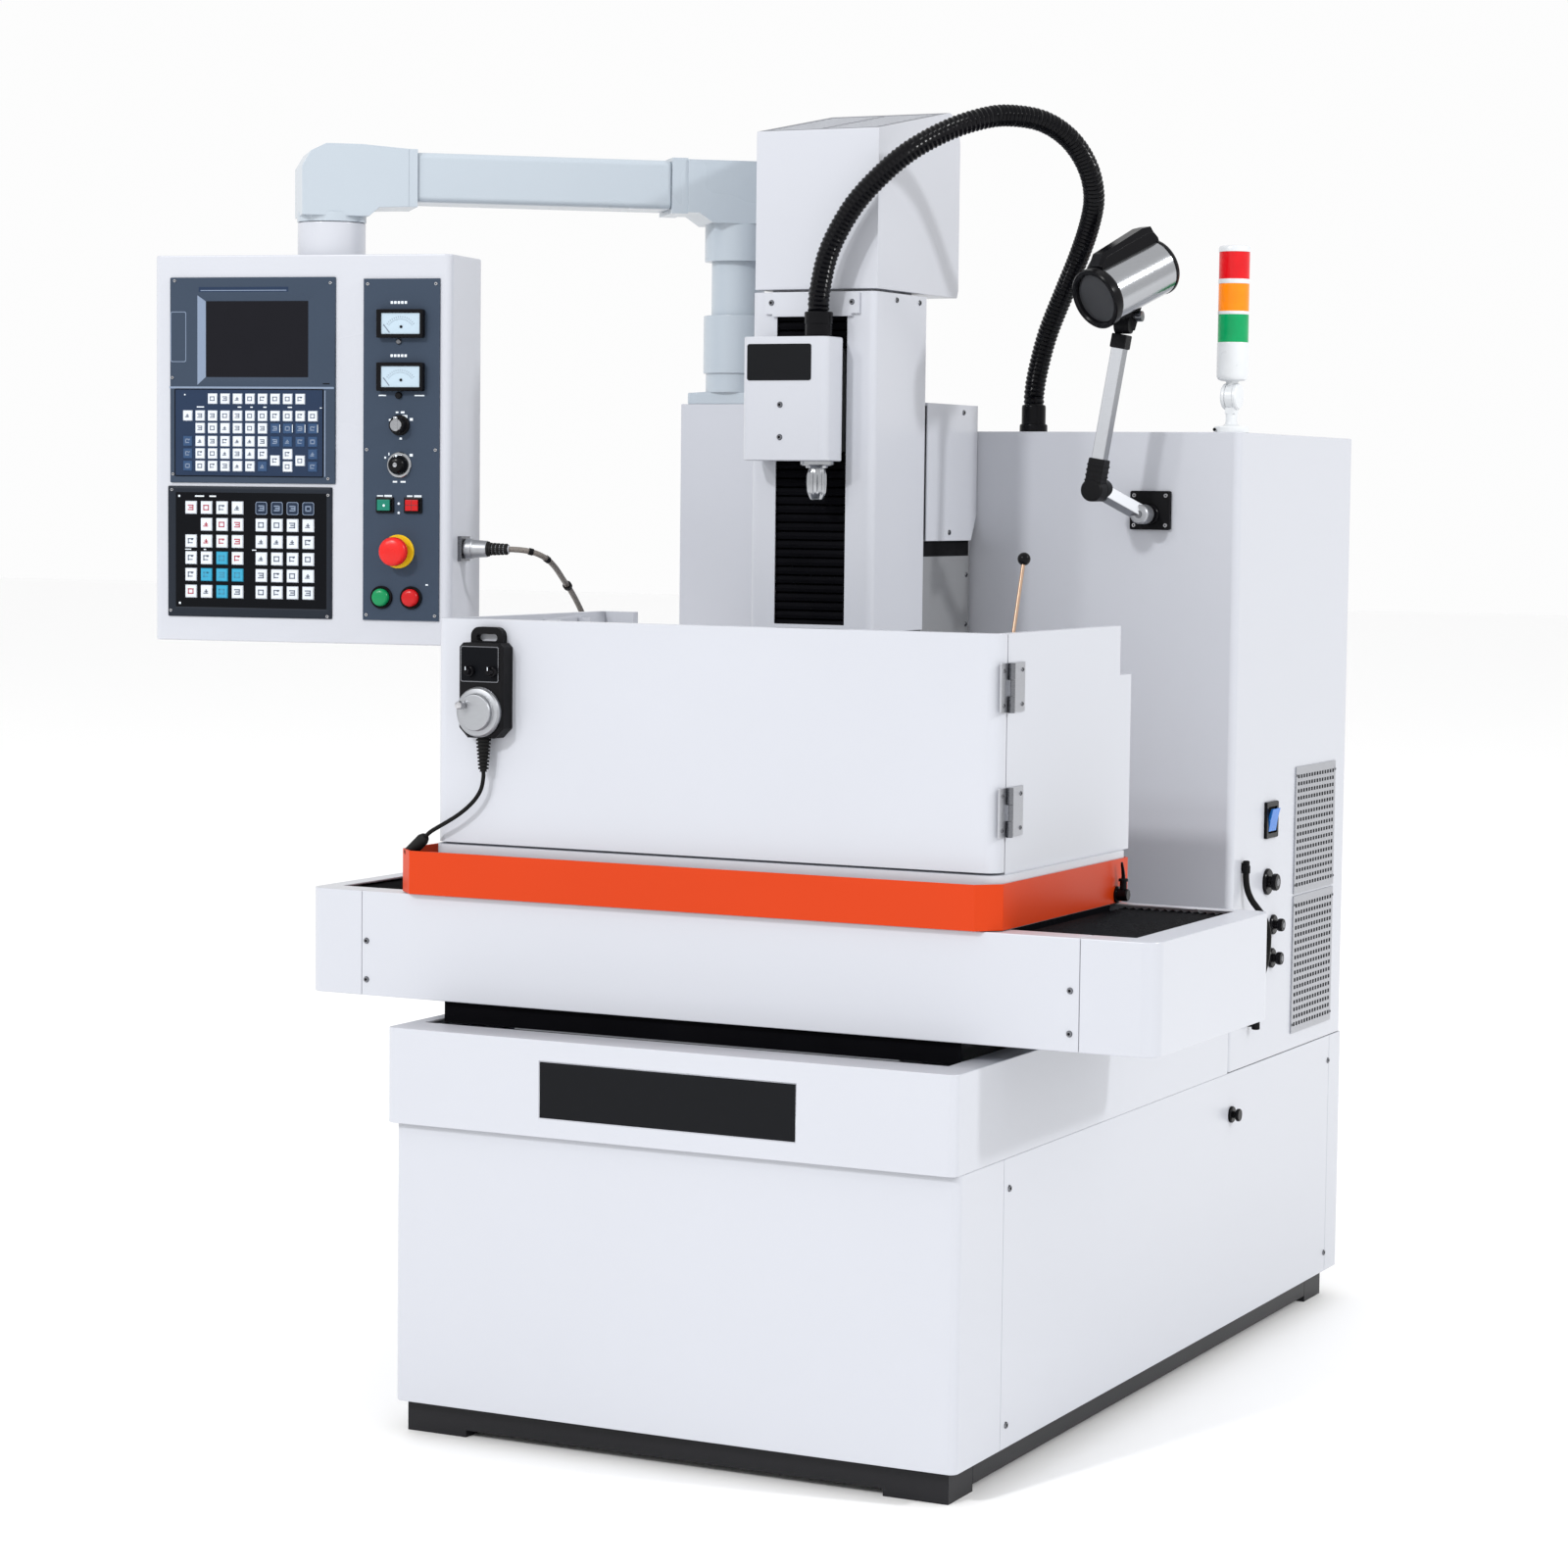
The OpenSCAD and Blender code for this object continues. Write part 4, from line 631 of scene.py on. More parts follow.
def tick_tree():
    """A thin printed stroke on every point, pointing away from a centre."""
    tree = Tree("ticks", Centre="Vector", Stroke="Vector", Print="Material")
    away = tree.node("ShaderNodeVectorMath", {"operation": "SUBTRACT"}, tree.node("InputPosition"),
                     tree.given["Centre"])
    stroke = tree.node("MeshCube", Size=tree.given["Stroke"])
    return tree.end(tree.on_points(stroke, Rotation=tree.facing("X", away)), tree.given["Print"])


def grille_tree():
    """A plate of crossing strips in the yz plane, centred on its points."""
    tree = Tree("grille", Columns="Int", Rows="Int", Width="Float", Height="Float", Strip="Float",
                Rib="Float", Thickness="Float", Metal="Material")
    g = tree.given
    parts = []
    for count, span, other, width, share in (("Columns", "Width", "Height", "Strip", 1.0),
                                             ("Rows", "Height", "Width", "Rib", 0.97)):
        free = tree.number("SUBTRACT", g[span], g[width])
        step, half = tree.number("DIVIDE", free, g[count]), tree.number("MULTIPLY", free, -0.5)
        thick = tree.number("MULTIPLY", g["Thickness"], share)
        start, move, size = ((tree.vector(0.0, half, 0.0), tree.vector(0.0, step, 0.0),
                              tree.vector(thick, g[width], g[other])) if count == "Columns" else
                             (tree.vector(0.0, 0.0, half), tree.vector(0.0, 0.0, step),
                              tree.vector(thick, g[other], g[width])))
        line = tree.node("MeshLine", {"mode": "OFFSET"}, Count=tree.number("ADD", g[count], 1),
                         Start_Location=start, Offset=move)
        parts.append(tree.on_points(tree.node("MeshCube", Size=size), line))
    return tree.end(tree.on_points(tree.join(*parts)), g["Metal"])


def hose_tree():
    """A ringed hose along a line: the wall rises and falls once in every pitch."""
    tree = Tree("ringed hose", Radius="Float", Groove="Float", Pitch="Float", Sides="Int", Jacket="Material")
    g = tree.given
    curve = tree.node("ResampleCurve", {"mode": "LENGTH"}, Curve=tree.node("MeshToCurve", Mesh=tree.start),
                      Length=tree.number("DIVIDE", g["Pitch"], 4.0))
    step = tree.number("MODULO", tree.node("InputIndex"), 4.0)
    rise = tree.number("ABSOLUTE", tree.number("SUBTRACT", step, 2.0))
    depth = tree.number("MULTIPLY", g["Groove"], 0.5)
    size = tree.number("SUBTRACT", 1.0, tree.number("MULTIPLY", rise, depth))
    ring = tree.node("CurvePrimitiveCircle", Resolution=g["Sides"], Radius=g["Radius"])
    sweep = tree.node("CurveToMesh", Curve=curve, Profile_Curve=ring, Scale=size, Fill_Caps=True)
    return tree.end(sweep, g["Jacket"])


SCREWS, KEYS, TICKS, GRILLE, HOSE = screw_tree(), key_tree(), tick_tree(), grille_tree(), hose_tree()


def screws(shape, r, facing, *points, metal=STEEL_DARK):
    # each hexagonal socket is a dark disc in the gap colour: painted shade of the hole
    SCREWS.grow(shape, points, HeadRadius=r, HeadHeight=r * 0.45, Facing=facing, Metal=metal, Socket=GAP_SHADE)


# ---- hose and cables ----

HOSE_ROUTE = [
    (-74, -188, 1602), (-74, -188, 1625), (-60, -190, 1684), (-34, -188, 1736), (0, -184, 1780),
    (53, -165, 1832), (104, -130, 1868), (144, -90, 1888), (171, -50, 1895), (203, 0, 1890),
    (226, 50, 1867), (237, 95, 1830), (234, 130, 1789), (216, 160, 1750), (187, 190, 1703),
    (153, 215, 1649), (116, 240, 1586), (92, 258, 1525), (84, 265, 1490), (84, 265, 1476),
]
SIDE_ROUTE = [
    (444.5, 286, 752), (444.5, 286, 747), (445.5, 286.9, 733.7), (448.3, 289.4, 720.8), (453, 293.5, 709),
    (459.2, 299, 698.5), (465.5, 304.5, 688), (470.2, 308.6, 676.2), (473, 311.1, 663.3), (474, 312, 650),
    (472.6, 313, 629.3), (468.6, 316, 609.1), (462, 321, 590), (455.4, 326, 570.9), (451.4, 329, 550.7),
    (450, 330, 530), (450, 330, 523),
]
PENDANT_ROUTE = [
    (-345, -694, 936), (-345, -694, 928), (-348.2, -694.3, 912), (-356.7, -695, 897.6),
    (-369.1, -695.9, 884.9), (-383.7, -696.8, 873.7), (-399, -697.4, 864.2), (-413.5, -697.5, 856.2),
    (-425.7, -696.9, 849.6), (-433.9, -695.3, 844.6), (-440, -693, 840),
]
CONTROL_FRONT = [
    (-542.2, -293.38, 1243), (-538.3, -292.62, 1243), (-519.6, -286.7, 1241.7), (-507, -276.7, 1238),
    (-500.1, -263.6, 1232.4), (-497.8, -248, 1225.3), (-499.1, -230.5, 1217), (-502.6, -211.6, 1208),
    (-507.4, -191.7, 1198.7), (-512.2, -171.6, 1189.6), (-513, -168, 1188),
]
CONTROL_REAR = [
    (-514.8, -159.9, 1184.4), (-515.8, -155.4, 1182.4), (-522.8, -121.4, 1162.9), (-529.4, -82.8, 1134.4),
    (-534.6, -43.8, 1101.5), (-537.2, -8.1, 1068.5), (-536, 20, 1040), (-531.7, 46.2, 1012.8),
    (-525.7, 71.6, 988), (-516.4, 94.5, 966.6), (-502.4, 113, 949.8), (-482.5, 125.5, 938.9),
    (-455, 130, 935), (-450, 130, 935),
]


def metres(p):
    return tuple(c / 1000 for c in p)


def lay_cord(node, route, diameter, bodies, finish, jacket=None):
    """The jacket of a cord on its route, attached to its body when it has just one."""
    line = smooth_route(route, diameter * 0.4)
    shape = Shape(node + "_jacket", finish)
    if jacket:
        jacket(shape, line)
    else:
        shape.tube(line, diameter / 2)
    piece = shape.done()
    start, end = metres(route[0]), metres(route[-1])
    if len(bodies) == 2:
        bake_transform(piece)
    dress(piece, bodies[0] if len(bodies) == 1 else None, SLOT_OF[node], node)
    length = sum((b - a).length for a, b in zip(line, line[1:])) / 1000
    [metres(p) for p in line]


def ringed_jacket(shape, line):
    HOSE.grow(shape, line, joined=True, Radius=16.5, Groove=0.11, Pitch=7.2, Sides=20, Jacket=HOSE_BLACK)


def banded_jacket(shape, line):
    """A plain jacket with two short black ties."""
    shape.tube(line, 4.5)
    for band in (8, 17):
        shape.tube(line[band:band + 3], 4.5 * 1.22, BLACK_PLASTIC)


def cords():
    lay_cord("conduit_hose", HOSE_ROUTE, 33, ("head", "base"), HOSE_BLACK,
             ringed_jacket)
    lay_cord("side_cable", SIDE_ROUTE, 10, ("base",), CABLE_BLACK)
    lay_cord("pendant_cable", PENDANT_ROUTE, 6, ("tank_door", "table"),
             CABLE_BLACK)
    shape = Shape("control_cable_sleeve", BLACK_PLASTIC)
    shape.lathe(CONTROL_FRONT[-1], Vector(CONTROL_REAR[0]) - Vector(CONTROL_FRONT[-1]),
                [(5.5, 0), (7, 1), (7, 8), (5.5, 9)])
    sleeve = shape.done()
    dress(sleeve, "arm", "black_plastic")
    lay_cord("control_cable_front", CONTROL_FRONT, 9, ("operator_panel", "arm"),
             SHEATH, banded_jacket)
    lay_cord("control_cable_rear", CONTROL_REAR, 9, ("arm", "base"), SHEATH)


cords()


# ---- bellows ----

def bellows(name, low, high, along, rise, pitch, bodies, start, end, *nodes):
    """A pleated sheet between two corners; its folds follow each other along one axis."""
    across = 3 - along - rise
    count = round((high[along] - low[along]) / pitch)
    step = (high[along] - low[along]) / count
    shape = Shape(name, FOLD_CLOTH)
    part = bmesh.new()
    rows = []
    for i in range(4 * count + 1):
        lean, level = ((0.0, 0.0), (-0.12, 0.78), (0.0, 1.0), (0.12, 0.78))[i % 4]
        point = [0.0, 0.0, 0.0]
        point[along] = low[along] + i * step / 4 + lean * step
        point[rise] = low[rise] + (high[rise] - low[rise]) * level
        row = []
        for point[across] in (low[across], high[across]):
            row.append(part.verts.new(point))
        rows.append(row)
    for a, b in zip(rows, rows[1:]):
        part.faces.new([a[0], a[1], b[1], b[0]])
    bmesh.ops.recalc_face_normals(part, faces=part.faces)
    bmesh.ops.solidify(part, geom=part.faces[:], thickness=0.8)
    shape.add(part)
    piece = shape.done(0.4)
    metres(start)
    metres(end)
    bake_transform(piece)
    dress(piece, None, "fold_cloth", *nodes)


def all_bellows():
    front, back, low_z, high_z, mid_z = -681, -261, 562.5, 573.5, 568
    low, high = box_of("y_bellows")
    bellows("front_bellows", (low[0], low[1], low_z), (high[0], front, high_z), 1, 2, 24.5,
            ("base", "saddle"), (0, low[1], mid_z), (0, front, mid_z), "y_bellows")
    bellows("rear_bellows", (low[0], back, low_z), (high[0], high[1], high_z), 1, 2, 14.5, ("saddle", "base"),
            (0, back, mid_z), (0, high[1], mid_z))
    left, right, low_z, high_z, mid_z = -492, 450, 738.5, 750.5, 745
    low, high = box_of("x_bellows")
    bellows("left_bellows", (low[0], low[1], low_z), (left, high[1], high_z), 0, 2, 12, ("saddle", "table"),
            (low[0], 0, mid_z), (left, 0, mid_z), "x_bellows")
    bellows("right_bellows", (right, low[1], low_z), (high[0], high[1], high_z), 0, 2, 12,
            ("table", "saddle"), (right, 0, mid_z), (high[0], 0, mid_z))
    bottom, top = 1395, 1550
    low, high = box_of("z_bellows")
    bellows("lower_head_bellows", (low[0], high[1], low[2]), (high[0], low[1], bottom), 2, 1, 13.5,
            ("base", "head"), (0, 0, low[2]), (0, 0, bottom), "z_bellows")
    bellows("upper_head_bellows", (low[0], high[1], top), (high[0], low[1], high[2]), 2, 1, 13.5,
            ("head", "base"), (0, 0, top), (0, 0, high[2]))


all_bellows()


# ---- sheet-metal covers and castings ----

for folded in ("front_skirt", "skirt_panels", "upper_rim", "saddle_cover", "saddle_end_caps", "work_tank",
               "tank_door", "ram_housing", "column_cover", "cabinet"):
    soften(folded)
# the top cover's roof is painted darker grey as painted shade
soften("top_cover", roof_shade=COVER_TOP_SHADE)
soften("spill_tray", 0.9)
soften("control_box", 2.5, PANEL_WHITE, 3)
for casting in ("arm_pole", "arm_elbow_right", "arm_beam", "arm_elbow_left"):
    soften(casting, 4.0, None, 3)
soften("plinth", 1.5)
soften("work_table", 1.0)


# ---- helpers for the small pieces ----

PANEL = Matrix.Translation((-838.8, -332.7, 0)) @ Matrix.Rotation(math.radians(11), 4, "Z")
PANEL_BACK, PANEL_FACE, KEYPAD_FILM = -70, -73, -72.4
CABINET_SIDE = 438
SPINDLE_X, SPINDLE_Y = -74, -188
TOWER_X, TOWER_Y = 412, 268


def at_depth(y, *places):
    return [(x, y, z) for x, z in places]


def border(shape, x, z, width, y, depth, finish, r=2.0):
    """A flat frame of even width that stands on a face."""
    inner_r = max(0.3, r - width * 0.5)
    shape.loft(outlines(x, z, (0, r, y), (0, r, y - depth), (width, inner_r, y - depth), (width, inner_r, y)),
               "xz", finish, ring=True)


def strokes(shape, y, finish, *places):
    """Small printed marks: middle and size of each."""
    for x, z, w, h in places:
        shape.box((x - w / 2, y - 0.25, z - h / 2), (x + w / 2, y + 0.15, z + h / 2), finish)


def dish(shape, x, z, r, rim, finish, sides=48):
    """A round collar on the panel with a flat floor inside its rim."""
    shape.lathe((x, PANEL_FACE, z), FORWARD, [(r, 0), (r, 3.0), (r - 1.0, 4), (r - rim + 0.6, 4),
                                              (r - rim, 3.4), (r - rim, 0.5)], finish, sides)


# ---- operator panel ----

def display_frames():
    shape = Shape("display_and_key_frames", SLATE, PANEL)
    face = PANEL_FACE
    screen_x, screen_z = (-191.5, 3), (1488, 1627)
    glass_x, glass_z = (-178, -9), (1501, 1617)
    shape.loft(outlines((-237, 36), (1339, 1653), (0, 2, PANEL_BACK), (0, 2, -72.2), (1, 2, face))
               + outlines(screen_x, screen_z, (0, 1.2, face))
               + outlines(glass_x, glass_z, (0, 1.2, -70.8), (0, 1.2, -70.2)), ring=True)

    def strip(front, back, z, inset):
        low, high = z[0] + inset, z[1] - inset
        return [(front, low), (front, high), (back, high), (back, low)]
    shape.loft([(strip(-73.15, -72.4, screen_z, 1), screen_x[0] + 0.3),
                (strip(-70.95, -70.3, glass_z, 0.4), glass_x[0] - 0.2)], "yz", SLATE_PALE)
    shape.box((glass_x[0] - 1, -70.75, glass_z[0] - 1), (glass_x[1] + 1, -70.1, glass_z[1] + 1), SCREEN)
    # the slot is a navy box darker than the film, painted shade of its recess; the thin pale strip along it
    # is a painted highlight
    shape.box((-189, -73.2, 1631), (-41, -72.6, 1638.5), NAVY, 0.3)
    shape.box((-186, -73.3, 1632.5), (-44, -73.1, 1633.7), SLATE_PALE)
    border(shape, (-236, -210), (1524, 1601), 1.0, face, 0.3, SLATE_PALE, 3)
    shape.box((-238, -73.15, 1483.5), (34, -72.9, 1486.5), SLATE_PALE)
    shape.box((-228, -73.5, 1350), (16, -72.9, 1482), NAVY, 0.2)
    border(shape, (-229.2, 17.2), (1348.8, 1483.2), 1.4, -72.9, 0.9, DARK_FILM)
    shape.box((18.6, -73.4, 1350), (20.4, -72.9, 1481), SLATE_PALE)
    strokes(shape, -73.5, PALE_PRINT, (-186, 1455.3, 12, 1.6), (-121, 1455.3, 6, 1.6), (-101, 1455.3, 4, 1.6),
            (-79, 1455.3, 5, 1.6), (-38, 1455.3, 7, 1.6), (-212, 1474, 2, 2), (13, 1454.5, 3, 1.2))
    low_x, low_z = (-227.5, 22), (1148, 1324)
    shape.loft(outlines((-241, 31), (1133, 1334), (0, 2, PANEL_BACK), (0, 2, -71.8), (3, 2, -73.2))
               + outlines(low_x, low_z, (-3, 2, -73.2), (0, 1, -72.3), (0, 1, -70.2)),
               "xz", SLATE_DARK, ring=True)
    shape.box((low_x[0] - 1, KEYPAD_FILM, low_z[0] - 1), (low_x[1] + 1, -70.1, low_z[1] + 1), DARK_FILM)
    strokes(shape, KEYPAD_FILM, PALE_PRINT, (-188, 1318.5, 15, 2.0), (-166, 1318.5, 11, 2.0),
            (-207, 1236.6, 10, 1.4), (-179, 1236.6, 4, 1.4), (-97, 1236.6, 7, 1.4), (-221, 1153.5, 3, 3),
            (-222, 1318.5, 3, 3))
    screws(shape, 2.6, FORWARD, *at_depth(-73.1, (-229, 1648), (28, 1644), (-233, 1500), (-232, 1352),
                                          (25, 1347), (-234, 1328), (25, 1322), (-236, 1142), (24, 1137)),
           metal=SCREW_STEEL)
    # a thin dark slot mark in the gap colour: painted shade
    shape.box((16, -73.4, 1490.5), (27, -72.9, 1492), GAP_SHADE)
    cover(shape, "display_panel")


def keypad():
    shape = Shape("keypad_keys", KEY_WHITE, PANEL)
    upper_pitch, lower_pitch = 20.7, 25.8
    left, right, top = -202, -85, 1301
    small, large = (15.8, 16.2, 2.0), (19.4, 20.0, 2.2)

    def upper(*rows):
        return [(-207 + upper_pitch * i, z) for z, some in rows for i in some]

    def lower(start, *cells):
        return [(start + lower_pitch * i, top - lower_pitch * k) for i, k in cells]
    white = upper((1468, range(2, 10)), (1442, range(11)), (1423, range(1, 7)), (1403, range(1, 7)),
                  (1384, (1, 2, 3, 4, 5, 6, 8)), (1374, (7, 9)), (1365, (1, 2, 3, 4, 5, 8)))
    blue = upper((1423, range(7, 11)), (1403, (0, 7, 8, 9, 10)), (1384, (0, 10)), (1365, (0, 6, 10)))
    red_cells = (0, 0), (1, 0), (1, 1), (2, 1), (3, 1), (1, 2), (2, 2), (3, 2), (3, 3), (0, 5)
    cyan_cells = (2, 3), (1, 4), (2, 4), (3, 4), (2, 5)
    other_cells = (*red_cells, *cyan_cells, (0, 1))
    plain_cells = [(i, k) for i in range(4) for k in range(6) if (i, k) not in other_cells]
    plain = lower(left, *plain_cells) + lower(right, *[(i, k) for i in range(4) for k in range(1, 6)])
    drawn = lower(right, *[(i, 0) for i in range(4)])
    for places, size, face, seed, body, mark in (
        (white, small, -73.4, 3, KEY_WHITE, KEY_MARK), (blue, small, -73.0, 5, KEY_BLUE, SLATE_PALE),
        (lower(left, *red_cells), large, -72.3, 7, KEY_WHITE, KEY_RED),
        (lower(left, *cyan_cells), large, -72.3, 2, KEY_CYAN, KEY_DEEP),
        (plain, large, -72.3, 11, KEY_WHITE, KEY_MARK), (drawn, large, -71.0, 4, KEY_DARK, SLATE_PALE),
    ):
        KEYS.grow(shape, at_depth(face, *places), Width=size[0], Height=size[1], Rise=size[2], Seed=seed,
                  Body=body, Print=mark)
    for x, z in drawn:
        border(shape, (x - 9.5, x + 9.5), (z - 9.8, z + 9.8), 0.9, -72.9, 0.5, SLATE_PALE, 3)
    strokes(shape, -75.0, PALE_PRINT, *[(x + 8.3, z, 0.9, 12) for x, z in blue if x > 0 or z == 1423])
    cover(shape, "panel_keys", 0.4)


def meter(shape, z):
    """A dial gauge with two arcs of ticks, a pointer and a row of marks above it."""
    shape.loft(outlines((107, 181.5), (z - 21.5, z + 21.5), (0, 2, -72.5), (0, 2, -84), (1, 2, -85))
               + outlines((114.8, 177.3), (z - 15.8, z + 15.8), (0, 1, -85), (0, 1, -83.2), (0, 1, -72.5)),
               "xz", GLOSS_BLACK, ring=True)
    shape.box((113.8, -83.4, z - 16.8), (178.3, -80, z + 16.8), METER_FACE)
    middle = Vector((146, -83.5, z - 17))
    for r, stroke, count in ((27, 2.6, 15), (23.5, 1.2, 22)):
        turns = [math.radians(-52 + 104 * k / (count - 1)) for k in range(count)]
        TICKS.grow(shape, [middle + Vector((r * math.sin(a), 0, r * math.cos(a))) for a in turns],
                   Centre=middle, Stroke=(stroke, 0.2, 0.55), Print=KEY_MARK)
    shape.bar(middle + Vector((-18, 0, 3.5)), middle + Vector((-27.5, 0, 15.5)), 0.7, KEY_MARK, 6)
    shape.bar(middle + Vector((1, 0.3, 12)), middle + Vector((1, -1.0, 12)), 2.2, GLOSS_BLACK, 16)
    strokes(shape, PANEL_FACE, PALE_PRINT, *[(128 + 5.6 * k, z + 32, 3.9, 4.0) for k in range(5)])


def operator_column():
    shape = Shape("operator_column_face", SLATE, PANEL)
    shape.box((82, PANEL_FACE, 1133), (205, PANEL_BACK, 1650), soft=0.5)
    for z in (1582, 1502):
        meter(shape, z)
    strokes(shape, PANEL_FACE, PALE_PRINT, (113, 1474, 12, 1.8), (173, 1474, 16, 1.8), (137, 1448.5, 4, 2.4),
            (146, 1448.5, 6, 3), (125.5, 1437, 3.4, 3), (137, 1441.5, 6, 4), (149, 1442, 9, 5),
            (160, 1438, 5, 4), (143, 1409, 4, 3), (118, 1380, 2.6, 3), (124, 1385.5, 1.6, 4),
            (160, 1384, 5, 4), (134, 1343.6, 7, 2.4), (147, 1343.6, 8, 2.4), (110, 1322, 10, 2),
            (123, 1322, 12, 3), (158, 1322, 9, 2.4), (171, 1322, 12, 3), (186, 1188, 4, 2))
    for x, z, r, h, finish in ((139.6, 1555, 4.2, 2.4, STEEL_DARK), (140, 1474, 5.2, 3.6, BLACK_PLASTIC)):
        shape.lathe((x, PANEL_FACE, z), FORWARD, [(r, 0), (r, h), (r - 1, h + 1), (0, h + 1.2)], finish, 20)
    for x in (118.5, 164):
        outer = rounded((x - 14.2, x + 14.2), (1296, 1320.4), 1.5)
        inner = rounded((x - 12.0, x + 12.0), (1298.2, 1318.2), 1)
        shape.loft([(outer, -72.8), (outer, -76.2), (inner, -77), (inner, -72.8)], "xz",
                   GLOSS_BLACK, ring=True)
    for z in (1310.5, 1296.5):
        shape.lathe((140.6, PANEL_FACE, z), FORWARD, [(2.2, 0), (2.0, 1.4), (0, 2.2)], KEY_WHITE, 14)
    dish(shape, 140, 1238, 25.5, 11.2, YELLOW, 56)
    for x in (113, 161):
        dish(shape, x, 1168, 17.5, 3.3, GLOSS_BLACK)
    screws(shape, 2.8, FORWARD, *at_depth(PANEL_FACE, (89, 1642), (199, 1642), (88, 1392), (199, 1392),
                                          (88, 1141), (199, 1141)), metal=SCREW_STEEL)
    cover(shape, "operator_panel")


def dials():
    shape = Shape("upper_dial", BLACK_PLASTIC, PANEL)
    shape.lathe((142, -73.3, 1429), FORWARD, [(15.6, 0), (15.6, 4), (14.6, 5), (12.6, 5.2), (11.8, 17),
                                              (10.8, 18)])
    shape.lathe((142, -91.2, 1429), FORWARD, [(9.2, 0), (9.2, 1.2), (8.4, 2.0), (0, 2.1)], CHROME)
    shape.box((138.6, -93.8, 1420.5), (145.4, -91, 1441), CHROME, 0.8)
    cover(shape, "dial_upper")
    shape = Shape("lower_dial", GLOSS_BLACK, PANEL)
    shape.lathe((141, -73.3, 1369), FORWARD, [(19.6, 0), (19.6, 1.6), (18.6, 2.6), (16.2, 2.8)], CHROME, 56)
    shape.lathe((141, -75.8, 1369), FORWARD, [(15.6, 0), (15.2, 4), (13.4, 10), (11.6, 13.6), (9.4, 15.2),
                                              (5, 16), (0, 16.2)])
    shape.lathe((141, -91.6, 1369), FORWARD, [(3.6, 0), (3.4, 1), (0, 1.6)], CHROME, 20)
    shape.box((139.8, -88.5, 1376.5), (142.2, -78, 1384.4), PALE_PRINT, 0.3)
    cover(shape, "dial_lower")


def push_buttons():
    for x, node, cap in ((118.5, "square_button_green", GREEN_PALE), (164, "square_button_red", RED)):
        shape = Shape(node + "_cap", GLOSS_BLACK, PANEL)
        shape.box((x - 11.4, -80, 1298.8), (x + 11.4, -76.0, 1317.6), soft=0.6)
        shape.box((x - 10.2, -82.4, 1299.9), (x + 10.2, -80, 1316.5), cap, 0.8)
        if cap is RED:
            shape.box((x - 0.5, -82.6, 1300.5), (x + 0.5, -81.5, 1316), DARK_RED)
            shape.box((x - 9.6, -82.6, 1307.8), (x + 9.6, -81.5, 1308.8), DARK_RED)
        else:
            shape.lathe((x + 1, -82.3, 1307.5), FORWARD, [(2.0, 0), (1.8, 0.5), (0, 0.7)], PALE_PRINT, 14)
        cover(shape, node)
    for x, node, cap in ((113, "round_button_green", GREEN), (161, "round_button_red", RED)):
        shape = Shape(node + "_cap", cap, PANEL)
        shape.lathe((x, -76.4, 1168), FORWARD, [(13.4, 0), (13.4, 4.0), (12.6, 6.2), (10.8, 7.8), (7.2, 8.6),
                                                (0, 8.9)], sides=48)
        cover(shape, node)
    shape = Shape("stop_button", STOP_RED, PANEL)
    shape.lathe((140, -77.9, 1238), FORWARD, [(13, 0), (13, 8), (16.5, 9.4), (20.6, 10.6), (21.8, 12.6),
                                              (22, 15), (22, 20), (21.4, 22.4), (19.6, 24.6), (16.4, 26.0),
                                              (11, 27.2), (0, 27.6)], sides=56)
    cover(shape, "emergency_stop")


def connector():
    shape = Shape("cable_connector", ALUMINIUM, PANEL)
    edge, y, z = 222, -18, 1243
    shape.box((edge - 1, y - 19, z - 19), (edge + 6.3, y + 19, z + 19), STEEL_DARK, 0.6)
    shape.lathe((edge + 1, y, z), SIDEWAYS, [(12.4, 0), (12.4, 6.5), (15.4, 7.4), (15.4, 17), (14.6, 18),
                                             (14.0, 18.4), (14.0, 20), (13.6, 21), (12.6, 40), (12.0, 41)])
    ribs = [(r, 4 + 6.2 * k + h) for k in range(5)
            for r, h in ((9.8 - 0.3 * k, 0.2), (9.8 - 0.3 * k, 3.6), (7.0, 4.2), (7.0, 5.8))]
    shape.lathe((edge + 41, y, z), SIDEWAYS, [(11.6, 0), (11.6, 3), (10.8, 4), *ribs, (0, 35.4)], RUBBER, 28)
    fit(shape, "control_box", "black_plastic", 0.5)


# ---- head and chuck ----

def head():
    shape = Shape("head_box", WHITE)
    shape.loft(outlines((-188, -46), (-216, -153), (1.5, 11.5, 1381), (0, 13, 1382.5), (0, 13, 1563.5),
                        (1.5, 11.5, 1565), steps=7), "xy")
    shape.loft(outlines((-178, -72), (1500, 1554), (0, 3.5, -215.8), (0, 3.5, -216.9), (0.6, 3, -217.2)),
               "xz", PLATE_DARK)
    shape.lathe((SPINDLE_X, SPINDLE_Y, 1564.5), UPWARD, [(22, 0), (22, 2), (20.4, 3), (20.4, 19), (21.4, 20),
                                                         (21.4, 36), (20.4, 37.4)], GLOSS_BLACK)
    cover(shape, "head_housing")
    shape = Shape("head_screws", STEEL_DARK)
    screws(shape, 4.8, FORWARD, (-123, -215.9, 1416), (-123, -215.9, 1464))
    fit(shape, "head_housing", "bright_steel")


